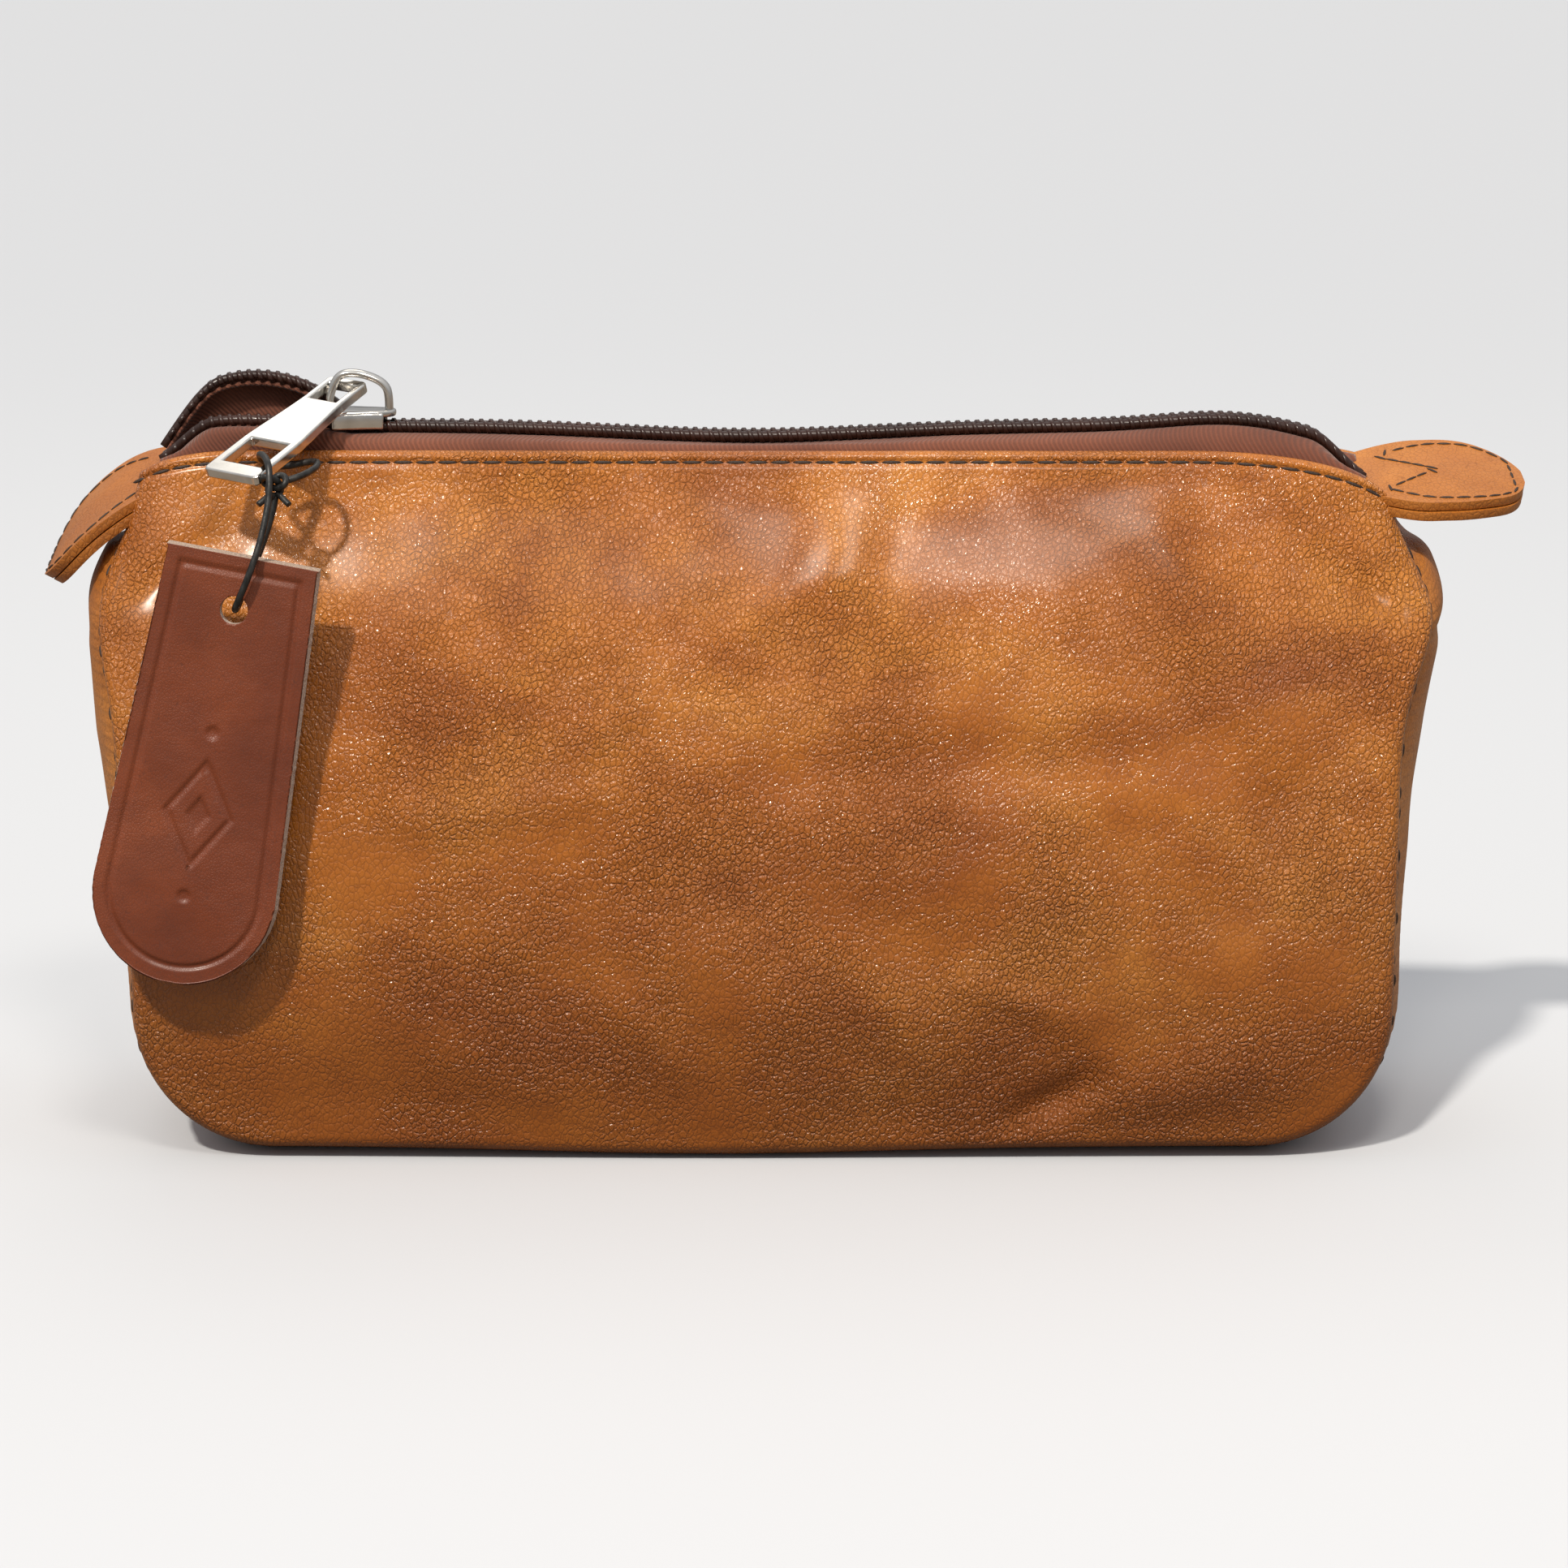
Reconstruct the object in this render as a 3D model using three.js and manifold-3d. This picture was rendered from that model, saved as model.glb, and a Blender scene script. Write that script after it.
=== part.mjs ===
// Zippered pouch: two leather panels sewn to one gusset strip, a coil zipper along the top,
// a leather tab at each end of the zipper, and a leather hang tag on a waxed cord.
// Millimetres, +Z up, +X along the zipper, the front faces -Y, origin at the centre of the base.
import * as THREE from "three";
import { ParametricGeometry } from "three/addons/geometries/ParametricGeometry.js";
import { mergeVertices } from "three/addons/utils/BufferGeometryUtils.js";
import Module from "manifold-3d";

const wasm = await Module();
wasm.setup();
const { clamp, lerp, smoothstep, degToRad } = THREE.MathUtils;

// ---- driving dimensions: the case ----
const panelHalfWidth = 93; // centre to the side seam, low on the panel
const hemHeight = 104; // base to the folded top edge
const halfDepth = 29.2; // centre to the fullest part of a panel
const mouthHalf = 8; // zipper centre line to the folded edge
const cornerRadius = 20; // bottom corners of a panel
const seamLift = 2.5; // bottom seam above the base
const panelFullness = 3.2; // how far a panel swells past its side seams
const gussetTopGap = 12; // the gusset ends this far below the folded edge
const leather = 1.4; // panel and gusset leather
const liningCloth = 0.6;
const gap = 0.3; // clearance between touching pieces
const tuck = 2 * leather; // the gusset's edge sits this far inside the panel's edge

// ---- driving dimensions: the zipper ----
const zipInset = 3.5; // the chain ends this far inside the side seams
const zipCurl = 10.5; // length that curls down at each end of the chain
const zipHalf = panelHalfWidth - zipInset;
const zipFlatHalf = zipHalf - zipCurl;
const zipEndDrop = 9; // its ends curl down by this much
const tapeRise = 1; // the tape's top above the folded edge
const tapeTop = hemHeight + tapeRise;
const tapeCloth = 0.5;
const coilHalf = 1.1; // half of one row's width and of its height
const rowsApart = 0.3; // between the two closed rows
const lensSpread = 1.2; // how far each row bows out in the open stretch
const sliderX = -60; // the slider's middle, along the zipper
const sliderLength = 11;
const sliderPlate = 1;
const sliderWall = 0.7;
const postHalf = 0.9; // wedge that parts the rows inside the slider
const crownRod = 1.1; // diameter of the arch that holds the pull
const crownRise = 5.2; // arch above the top plate
const pullLength = 28;
const pullThick = 1.6;
const pullTopHalf = 3.7;
const pullEndHalf = 5;
const pullAlong = new THREE.Vector3(-0.52, -0.76, -0.38).normalize();
const pullFace = new THREE.Vector3(-0.15, -0.36, 0.92).projectOnPlane(pullAlong).normalize();

// ---- driving dimensions: tabs, tag, cord, thread ----
const tabLength = 22;
const tabHalfWidth = 10.5;
const tabLeather = 1.3;
const tabRootX = panelHalfWidth - 1.5;
const tabRootZ = hemHeight - 4.5;
const tagTopHalf = 11;
const tagEndHalf = 13.5;
const tagAbove = 8; // top edge above the hole
const tagBelow = 55; // rounded end below the hole
const tagLeather = 2.2;
const tagHole = 2;
const tagHolePlace = new THREE.Vector3(-75.5, -27.4, 83.6);
const tagUp = new THREE.Vector3(0.19, 0.1, 0.978).normalize();
const cordRadius = 0.5;
const knotRadius = 1.4;
const threadHalf = 0.3;

// ---- finishes ----
const cognac = new THREE.MeshStandardMaterial({ color: 0xb4733a, roughness: 0.38, metalness: 0 });
const russet = new THREE.MeshStandardMaterial({ color: 0x78402a, roughness: 0.5, metalness: 0 });
const brownCloth = new THREE.MeshStandardMaterial({ color: 0x7a4530, roughness: 0.85, metalness: 0 });
const liningTan = new THREE.MeshStandardMaterial({ color: 0x9c7b58, roughness: 0.9, metalness: 0 });
const coilBrown = new THREE.MeshStandardMaterial({ color: 0x33201a, roughness: 0.35, metalness: 0 });
const threadBrown = new THREE.MeshStandardMaterial({ color: 0x2c1a12, roughness: 0.7, metalness: 0 });
const nickel = new THREE.MeshStandardMaterial({ color: 0xd6d2cc, roughness: 0.18, metalness: 1 });
const waxedBlack = new THREE.MeshStandardMaterial({ color: 0x141414, roughness: 0.5, metalness: 0 });

const pouch = new THREE.Group();

// A smooth curve through values set at equal steps; reads it at a share from 0 to 1.
function curveThrough(values) {
  const spline = new THREE.SplineCurve(values.map((value, i) => new THREE.Vector2(i, value)));
  return (share) => spline.getPoint(clamp(share, 0, 1)).y;
}

// Drops the seams' doubled points and flat triangles, and turns the faces outwards.
function closed(geometry) {
  geometry.deleteAttribute("normal");
  geometry.deleteAttribute("uv");
  const merged = mergeVertices(geometry, 1e-3);
  const corners = merged.index.array;
  const kept = [];
  let volume = 0;
  const [a, b, c] = [new THREE.Vector3(), new THREE.Vector3(), new THREE.Vector3()];
  for (let i = 0; i < corners.length; i += 3) {
    const [p, q, r] = corners.slice(i, i + 3);
    if (p === q || q === r || r === p) continue;
    kept.push([p, q, r]);
    a.fromBufferAttribute(merged.attributes.position, p);
    b.fromBufferAttribute(merged.attributes.position, q);
    c.fromBufferAttribute(merged.attributes.position, r);
    volume += a.dot(b.cross(c));
  }
  merged.setIndex(kept.flatMap(([p, q, r]) => (volume < 0 ? [p, r, q] : [p, q, r])));
  merged.computeVertexNormals();
  return merged;
}

function addNode(name, geometry, material, parent = pouch) {
  const mesh = new THREE.Mesh(closed(geometry), material);
  mesh.name = name;
  parent.add(mesh);
  return mesh;
}

// ---- booleans ----
function solidOf(geometry, move = new THREE.Matrix4()) {
  const ready = closed(geometry.clone().applyMatrix4(move));
  return new wasm.Manifold(
    new wasm.Mesh({
      numProp: 3,
      vertProperties: ready.attributes.position.array,
      triVerts: new Uint32Array(ready.index.array),
    }),
  );
}

function geometryOf(solid) {
  const mesh = solid.getMesh();
  return new THREE.BufferGeometry()
    .setAttribute("position", new THREE.BufferAttribute(mesh.vertProperties, 3))
    .setIndex(new THREE.BufferAttribute(mesh.triVerts, 1));
}

// ---- sheets and strands ----
// A surface is a function (u, v, target). Its inward side faces the middle of the case.
const caseMiddle = new THREE.Vector3(0, 0, hemHeight / 2);

function insetPoint(surface, u, v, inset, towards) {
  const step = 1e-3;
  const along = (du, dv) => {
    const [low, high] = [new THREE.Vector3(), new THREE.Vector3()];
    surface(clamp(u - du, 0, 1), clamp(v - dv, 0, 1), low);
    surface(clamp(u + du, 0, 1), clamp(v + dv, 0, 1), high);
    return high.sub(low);
  };
  const normal = along(step, 0).cross(along(0, step)).normalize();
  const point = new THREE.Vector3();
  surface(u, v, point);
  if (normal.dot(towards(point)) < 0) normal.negate();
  return point.addScaledVector(normal, inset);
}

const toMiddle = (point) => caseMiddle.clone().sub(point);
const downwards = () => new THREE.Vector3(0, 0, -1);

// A closed sheet between two insets from a surface. The grid wraps round the sheet: out along
// the outer face, back along the inner one, and its first and last rows close on the mid line.
function sheet(surface, columns, rows, outer, inner, towards = toMiddle) {
  const ring = 2 * (columns + 1);
  const place = (a, b, target) => {
    const i = Math.round(a * ring) % ring;
    const j = Math.round(b * (rows + 2));
    const isOuter = i <= columns;
    const isEnd = j === 0 || j === rows + 2;
    const inset = isEnd ? (outer + inner) / 2 : isOuter ? outer : inner;
    const u = (isOuter ? i : ring - 1 - i) / columns;
    const v = clamp(j - 1, 0, rows) / rows;
    target.copy(insetPoint(surface, u, v, inset, towards));
  };
  return new ParametricGeometry(place, ring, rows + 2);
}

// A strand with an upright section of so many sides, swept along route(t, target).
function strand(route, halfWidth, halfHeight, sides, steps) {
  const place = (a, b, target) => {
    const j = Math.round(b * (steps + 2));
    route(clamp(j - 1, 0, steps) / steps, target);
    if (j === 0 || j === steps + 2) return;
    const angle = ((a * sides + 0.5) / sides) * 2 * Math.PI;
    const reach = 1 / Math.cos(Math.PI / sides);
    target.y += halfWidth * reach * Math.cos(angle);
    target.z += halfHeight * reach * Math.sin(angle);
  };
  return new ParametricGeometry(place, sides, steps + 2);
}

// A round rod along a curve.
function rod(points, radius, sides, steps) {
  const corners = Array.from({ length: sides }, (_, i) => (2 * Math.PI * i) / sides);
  const corner = (angle) => new THREE.Vector2(radius * Math.cos(angle), radius * Math.sin(angle));
  const extrudePath = new THREE.CatmullRomCurve3(points, false, "centripetal");
  return new THREE.ExtrudeGeometry(new THREE.Shape(corners.map(corner)), { steps, extrudePath });
}

// Points along route(t, target), to run a rod through.
function sampled(count, route) {
  return Array.from({ length: count }, (_, i) => {
    const point = new THREE.Vector3();
    route(i / (count - 1), point);
    return point;
  });
}

// ---- the case: panels, gusset, linings ----
const centreDepth = curveThrough([25.2, halfDepth, 26.6, 20.2, mouthHalf]);
const sideDepth = curveThrough([25, halfDepth - panelFullness, 23.4, 17, mouthHalf]);
const seamFlare = curveThrough([0, 0.2, 0.8, 2.2, -3]);
const gussetSwell = curveThrough([3, 4, 5.6, 5.4, 1]);
const cornerShare = 0.22; // share of the panel's rows in its bottom corners
const cornerTop = seamLift + cornerRadius;

// Columns crowd towards a panel's sides, where the ends of the zipper curl down.
const acrossOf = (u) => Math.sin((u - 0.5) * Math.PI);
const columnOf = (across) => Math.asin(clamp(across, -1, 1)) / Math.PI + 0.5;

const endDrop = (x) => zipEndDrop * smoothstep(Math.abs(x), zipFlatHalf, zipHalf + 1);

// Height and half width of a panel's row; margin pulls the outline in all round.
function panelRow(v, margin = 0) {
  const turn = (Math.min(v / cornerShare, 1) * Math.PI) / 2;
  const climb = Math.max(v - cornerShare, 0) / (1 - cornerShare);
  const round = cornerRadius - margin;
  const inCorner = seamLift + margin + round * (1 - Math.cos(turn));
  const height = v < cornerShare ? inCorner : lerp(cornerTop, hemHeight, climb);
  const halfWidth = panelHalfWidth - margin - round * (1 - Math.sin(turn)) + seamFlare(climb);
  return { height, halfWidth };
}

function panelSurface(side, margin = 0, topShare = 1) {
  return (u, v, target) => {
    const { height, halfWidth } = panelRow(v * topShare, margin);
    const across = acrossOf(u);
    const share = height / hemHeight;
    const x = across * halfWidth;
    const swell = (centreDepth(share) - sideDepth(share)) * (1 - across ** 2);
    const z = height - endDrop(x) * smoothstep(height, 0.65 * hemHeight, hemHeight);
    target.set(x, side * (sideDepth(share) + swell), z);
  };
}

// The gusset runs down the left side, along the base and up the right side.
function gussetSurface(edgeTuck, endShare) {
  const sideRows = 0.6;
  const cornerRows = 0.2;
  const baseRows = 1 - sideRows - cornerRows;
  return (u, v, target) => {
    const q = Math.abs(2 * v - 1);
    const end = Math.sign(2 * v - 1);
    const climb = (Math.max(q - 1 + sideRows, 0) / sideRows) * endShare;
    const turn = (clamp((q - baseRows) / cornerRows, 0, 1) * Math.PI) / 2;
    const [nx, nz] = [Math.sin(turn), -Math.cos(turn)];
    const run = Math.min(q / baseRows, 1) * (panelHalfWidth - cornerRadius);
    const top = hemHeight - gussetTopGap;
    const height = climb > 0 ? lerp(cornerTop, top, climb) : cornerTop + cornerRadius * nz;
    const seamX = run + cornerRadius * nx + seamFlare((height - cornerTop) / (hemHeight - cornerTop));
    const t = 2 * u - 1;
    const flat = 1 - clamp((Math.abs(t) - 2 / 3) * 3, 0, 1) ** 2;
    const round = 1 - Math.abs(t) ** 2.2;
    const swell = lerp(seamLift * flat, gussetSwell(climb) * round, Math.sin(turn) ** 2);
    const slope = (sideDepth(height / hemHeight + 0.01) - sideDepth(height / hemHeight)) / 0.01 / hemHeight;
    const depth = sideDepth(height / hemHeight) - edgeTuck * Math.hypot(1, slope);
    target.set(end * (seamX + swell * nx), t * depth, height + swell * nz);
  };
}

const liningInset = leather + gap + tapeCloth + 2 * gap;
const liningMargin = 4.5;
const gussetLiningTuck = 6;
const gussetEnd = 0.985;
const panels = { front: -1, back: 1 };

for (const [name, side] of Object.entries(panels)) {
  addNode(name + "_panel", sheet(panelSurface(side), 14, 14, 0, leather), cognac);
  const inside = panelSurface(side, liningMargin, 0.985);
  addNode("lining_" + name, sheet(inside, 10, 10, liningInset, liningInset + liningCloth), liningTan);
}
addNode("gusset_strip", sheet(gussetSurface(tuck, 1), 12, 30, 0, leather), cognac);
const insideGusset = gussetSurface(gussetLiningTuck, gussetEnd);
const gussetCloth = leather + gap + 0.2;
addNode("lining_gusset", sheet(insideGusset, 6, 30, gussetCloth, gussetCloth + liningCloth), liningTan);

// ---- the zipper: two tapes and two coil rows ----
const closedRow = rowsApart / 2 + coilHalf;
const partedRow = postHalf + gap + coilHalf;
const coilMiddle = tapeTop + 1.5 * gap + coilHalf;
const coilTop = coilMiddle + coilHalf;
const sliderLeft = sliderX - sliderLength / 2;
const flatTape = partedRow + coilHalf + 2.2; // the tape is level out to here

// Distance of a row's middle from the centre line: closed right of the slider, parted inside
// it, bowed out left of it, and closed again at the left end.
function rowCentre(x) {
  if (x > sliderLeft) {
    return lerp(partedRow, closedRow, smoothstep(x - sliderX, 1.5 - sliderLength / 2, 2.5));
  }
  const share = clamp((sliderLeft - x) / (sliderLeft + zipHalf), 0, 1);
  const bow = lensSpread * Math.sin(Math.PI * share ** 0.8);
  return lerp(partedRow, closedRow, smoothstep(share, 0, 1)) + bow;
}

function tapeSurface(side) {
  const panel = panelSurface(side);
  const underHem = (x, v) => {
    return insetPoint(panel, columnOf(x / panelRow(v).halfWidth), v, leather + 2 * gap, toMiddle);
  };
  return (u, v, target) => {
    const x = lerp(-zipHalf + 0.5, zipHalf - 0.5, v);
    const level = tapeTop - endDrop(x);
    const corners = [
      new THREE.Vector3(x, side * (rowCentre(x) + 0.3), level),
      new THREE.Vector3(x, side * flatTape, level),
      underHem(x, 1),
      underHem(x, 0.91),
    ];
    const leg = Math.min(Math.floor(u * 3), 2);
    target.copy(corners[leg]).lerp(corners[leg + 1], u * 3 - leg);
    target.x = x;
  };
}

for (const [name, side] of Object.entries(panels)) {
  addNode("zipper_tape_" + name, sheet(tapeSurface(side), 6, 30, 0, tapeCloth, downwards), brownCloth);
  const row = (t, target) => {
    const x = lerp(-zipHalf, zipHalf, t);
    target.set(x, side * rowCentre(x), coilMiddle - endDrop(x));
  };
  addNode("zipper_coil_" + name, strand(row, coilHalf, coilHalf, 6, 48), coilBrown);
}

// ---- the slider: two plates joined by a wedge, with walls that hold the rows ----
const plateUnder = coilTop + gap;
const plateTop = plateUnder + sliderPlate;
const floorTop = tapeTop - tapeCloth - gap;

// Half outline of the slider's inside, or of its outside with the wall added.
function sliderOutline(extra, reach) {
  const shape = new THREE.Shape();
  const steps = 8;
  const sides = [1, -1];
  const places = sides.flatMap((side) =>
    Array.from({ length: steps + 1 }, (_, i) => {
      const share = side > 0 ? i / steps : 1 - i / steps;
      const x = lerp(-sliderLength / 2 - reach, sliderLength / 2 + reach, share);
      return new THREE.Vector2(x, side * (rowCentre(sliderX + Math.max(x, -5.4)) + coilHalf + extra));
    }),
  );
  shape.setFromPoints(places);
  return shape;
}

function slab(shape, low, high) {
  return new THREE.ExtrudeGeometry(shape, { depth: high - low, bevelEnabled: false }).translate(0, 0, low);
}

function sliderBody() {
  const block = solidOf(slab(sliderOutline(gap + sliderWall, 0), floorTop - sliderPlate, plateTop));
  const channel = solidOf(slab(sliderOutline(gap, 1), floorTop, plateUnder));
  const tapeSlot = new THREE.BoxGeometry(sliderLength + 2, 14, tapeCloth + 2 * gap);
  tapeSlot.translate(0, 0, tapeTop - tapeCloth / 2);
  const wedge = new THREE.Shape([
    new THREE.Vector2(-sliderLength / 2, -postHalf),
    new THREE.Vector2(-1.5, 0),
    new THREE.Vector2(-sliderLength / 2, postHalf),
  ]);
  const post = solidOf(slab(wedge, floorTop - sliderPlate / 2, plateTop - sliderPlate / 2));
  return geometryOf(block.subtract(channel).subtract(solidOf(tapeSlot)).add(post));
}

const sliderGroup = new THREE.Group();
sliderGroup.position.x = sliderX;
pouch.add(sliderGroup);
addNode("slider_body", sliderBody(), nickel, sliderGroup);

const crownLeft = 1.2 - sliderLength / 2;
const crownRight = sliderLength / 2 - 1.1;
const crownFoot = plateTop + gap;
const crownTop = plateTop + crownRise;
const crownArch = [
  new THREE.Vector3(crownLeft, 0, crownFoot),
  new THREE.Vector3(crownLeft, 0, crownFoot + 1.6),
  new THREE.Vector3(crownLeft + 1.2, 0, crownTop - 0.4),
  new THREE.Vector3(crownLeft + 3.4, 0, crownTop),
  new THREE.Vector3(crownRight - 2.2, 0, crownTop - 0.7),
  new THREE.Vector3(crownRight - 0.3, 0, crownTop - 2.2),
  new THREE.Vector3(crownRight, 0, crownFoot),
];
addNode("slider_crown", rod(crownArch, crownRod / 2, 8, 14), nickel, sliderGroup);

// ---- the pull: a flat bar with an eye at the top and a window at the end ----
const eyeBar = 0.75; // half width of the bar inside the arch
const eyeEnd = 5.8;
const eyeHalf = 2.7;
const windowStart = pullLength - 9.6;
const windowEnd = pullLength - 2.9;
const windowHalf = 3.3;

function rectangle(x0, x1, half, Kind) {
  const corner = (x, y) => new THREE.Vector2(x, y);
  return new Kind([corner(x0, -half), corner(x1, -half), corner(x1, half), corner(x0, half)]);
}

function pullGeometry() {
  const outline = new THREE.Shape();
  outline.moveTo(-eyeBar, -pullTopHalf + 0.8);
  outline.lineTo(-eyeBar + 0.8, -pullTopHalf);
  outline.lineTo(pullLength - 0.6, -pullEndHalf);
  outline.lineTo(pullLength, -pullEndHalf + 0.6);
  outline.lineTo(pullLength, pullEndHalf - 0.6);
  outline.lineTo(pullLength - 0.6, pullEndHalf);
  outline.lineTo(-eyeBar + 0.8, pullTopHalf);
  outline.lineTo(-eyeBar, pullTopHalf - 0.8);
  outline.holes.push(rectangle(eyeBar, eyeEnd, eyeHalf, THREE.Path));
  outline.holes.push(rectangle(windowStart, windowEnd, windowHalf, THREE.Path));
  return slab(outline, -pullThick / 2, pullThick / 2);
}

const pullPivot = new THREE.Vector3(sliderX + crownLeft + 2.4, 0.7, plateTop + 3.4);
const pull = addNode("zipper_pull", pullGeometry(), nickel);
const pullAcross = pullFace.clone().cross(pullAlong);
pull.applyMatrix4(new THREE.Matrix4().makeBasis(pullAlong, pullAcross, pullFace).setPosition(pullPivot));

// ---- the hang tag, its cord and the knot ----
function tagGeometry() {
  const outline = new THREE.Shape();
  const arcMiddle = -tagBelow + tagEndHalf;
  outline.moveTo(-tagTopHalf, tagAbove);
  outline.lineTo(-tagEndHalf, arcMiddle);
  outline.absarc(0, arcMiddle, tagEndHalf, Math.PI, 2 * Math.PI, false);
  outline.lineTo(tagTopHalf, tagAbove);
  outline.holes.push(new THREE.Path().absarc(0, 0, tagHole, 0, 2 * Math.PI, true));
  const depth = tagLeather;
  return new THREE.ExtrudeGeometry(outline, { depth, bevelEnabled: false, curveSegments: 16 });
}

const tag = addNode("hang_tag", tagGeometry().translate(0, 0, -tagLeather / 2), russet);
const tagFace = new THREE.Vector3(0, -1, 0).addScaledVector(tagUp, tagUp.y).normalize();
const tagAcross = tagUp.clone().cross(tagFace);
tag.applyMatrix4(new THREE.Matrix4().makeBasis(tagAcross, tagUp, tagFace).setPosition(tagHolePlace));

const knotPlace = new THREE.Vector3(-69.9, -22.7, 101);
addNode("cord_knot", new THREE.SphereGeometry(knotRadius, 12, 8).translate(...knotPlace), waxedBlack);

// The cord's route, from the knot round the pull's side bar, out through its window, past the
// knot, down in front of the tag, through its hole and up behind it to the knot.
const cordRoute = [
  [-68.1, -22.4, 101.5],
  [-66.0, -21.2, 102.1],
  [-64.5, -18.7, 102.8],
  [-64.6, -15.8, 103.2],
  [-66.3, -14.4, 103.0],
  [-68.9, -14.6, 102.5],
  [-71.0, -15.5, 102.7],
  [-72.3, -16.8, 103.6],
  [-72.5, -18.4, 104.6],
  [-71.9, -20.2, 104.9],
  [-71.1, -22.1, 104.6],
  [-70.5, -23.8, 103.6],
  [-70.3, -25.0, 101.7],
  [-70.4, -25.9, 99.2],
  [-70.8, -27.0, 96.4],
  [-71.5, -28.1, 93.4],
  [-72.4, -29.0, 90.6],
  [-73.5, -29.4, 87.8],
  [-74.5, -29.3, 85.6],
  [-75.2, -28.6, 84.1],
  [-75.4, -27.3, 83.6],
  [-75.2, -25.9, 84.0],
  [-74.6, -25.0, 85.6],
  [-73.4, -24.5, 88.4],
  [-72.1, -24.0, 91.5],
  [-70.9, -23.5, 94.8],
  [-70.1, -23.0, 97.6],
  [-69.8, -22.7, 99.2],
];
const cordPoints = cordRoute.map((place) => new THREE.Vector3(...place));
addNode("tag_cord", rod(cordPoints, cordRadius, 8, 44), waxedBlack);

// ---- end tabs: two leather layers each, bent along their length ----
function tabHalf(v) {
  const swell = lerp(0.8, 1, smoothstep(v, 0, 0.4));
  const roundFrom = 1 - tabHalfWidth / tabLength;
  const round = Math.max(v - roundFrom, 0) / (1 - roundFrom);
  return tabHalfWidth * swell * Math.sqrt(1 - (0.97 * round) ** 2);
}

// end is -1 at the left and 1 at the right; the tab bends from one slope to another, and roll
// lowers its front edge.
function tabPlace(end, slopeFrom, slopeTo, roll) {
  const bend = degToRad(slopeTo - slopeFrom) / tabLength;
  const from = degToRad(slopeFrom);
  return (y, v, lift, target) => {
    const slope = from + bend * tabLength * v;
    const out = (Math.sin(slope) - Math.sin(from)) / bend - lift * Math.sin(slope);
    const up = (Math.cos(from) - Math.cos(slope)) / bend + lift * Math.cos(slope);
    target.set(end * (tabRootX + out), y, tabRootZ + up + y * roll);
  };
}

const tabs = {
  left: tabPlace(-1, -22, -62, 0.1),
  right: tabPlace(1, 4, -8, 0.2),
};
for (const [name, place] of Object.entries(tabs)) {
  const face = (u, v, target) => place((2 * u - 1) * tabHalf(v), v, 0, target);
  const lower = tabLeather + gap;
  addNode("tab_" + name + "_upper", sheet(face, 6, 10, 0, tabLeather, downwards), cognac);
  addNode("tab_" + name + "_lower", sheet(face, 6, 10, lower, lower + tabLeather, downwards), cognac);
  const stitch = sampled(15, (t, target) => {
    const v = lerp(0.06, 0.93, Math.sin(Math.PI * t) ** 0.6);
    place(Math.sign(2 * t - 1) * Math.max(tabHalf(v) - 1.6, 0), v, gap + threadHalf, target);
  });
  addNode("tab_" + name + "_thread", rod(stitch, threadHalf, 4, 24), threadBrown);
}

// ---- sewing threads of the hems and of the turned side seams ----
for (const [name, side] of Object.entries(panels)) {
  const panel = panelSurface(side);
  const hemStitch = sampled(29, (t, target) => {
    target.copy(insetPoint(panel, lerp(0.1, 0.9, t), 0.975, -threadHalf - gap, toMiddle));
  });
  addNode(name + "_hem_thread", rod(hemStitch, threadHalf, 4, 28), threadBrown);
  const inside = gussetSurface(tuck + 1, gussetEnd);
  const seamStitch = sampled(31, (t, target) => {
    target.copy(insetPoint(inside, side < 0 ? 0 : 1, t, leather + gap + threadHalf, toMiddle));
  });
  addNode(name + "_seam_thread", rod(seamStitch, threadHalf, 4, 36), threadBrown);
}

export default pouch;
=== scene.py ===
# %% [markdown]
# # A zippered pouch in cognac leather
# The pouch is two leather panels sewn to one gusset strip, a nylon coil zipper along the top,
# a leather tab at each end of the zipper, and a hang tag on a waxed cord. This lesson builds the
# soft, stitched and polished surfaces round a frame of plain solids that already moves. Sizes are
# in metres, the pouch stands on z = 0 and its front looks towards -Y.

# %% Load the frame
import math

import bmesh
import bpy
from mathutils import Matrix, Vector, noise


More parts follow.
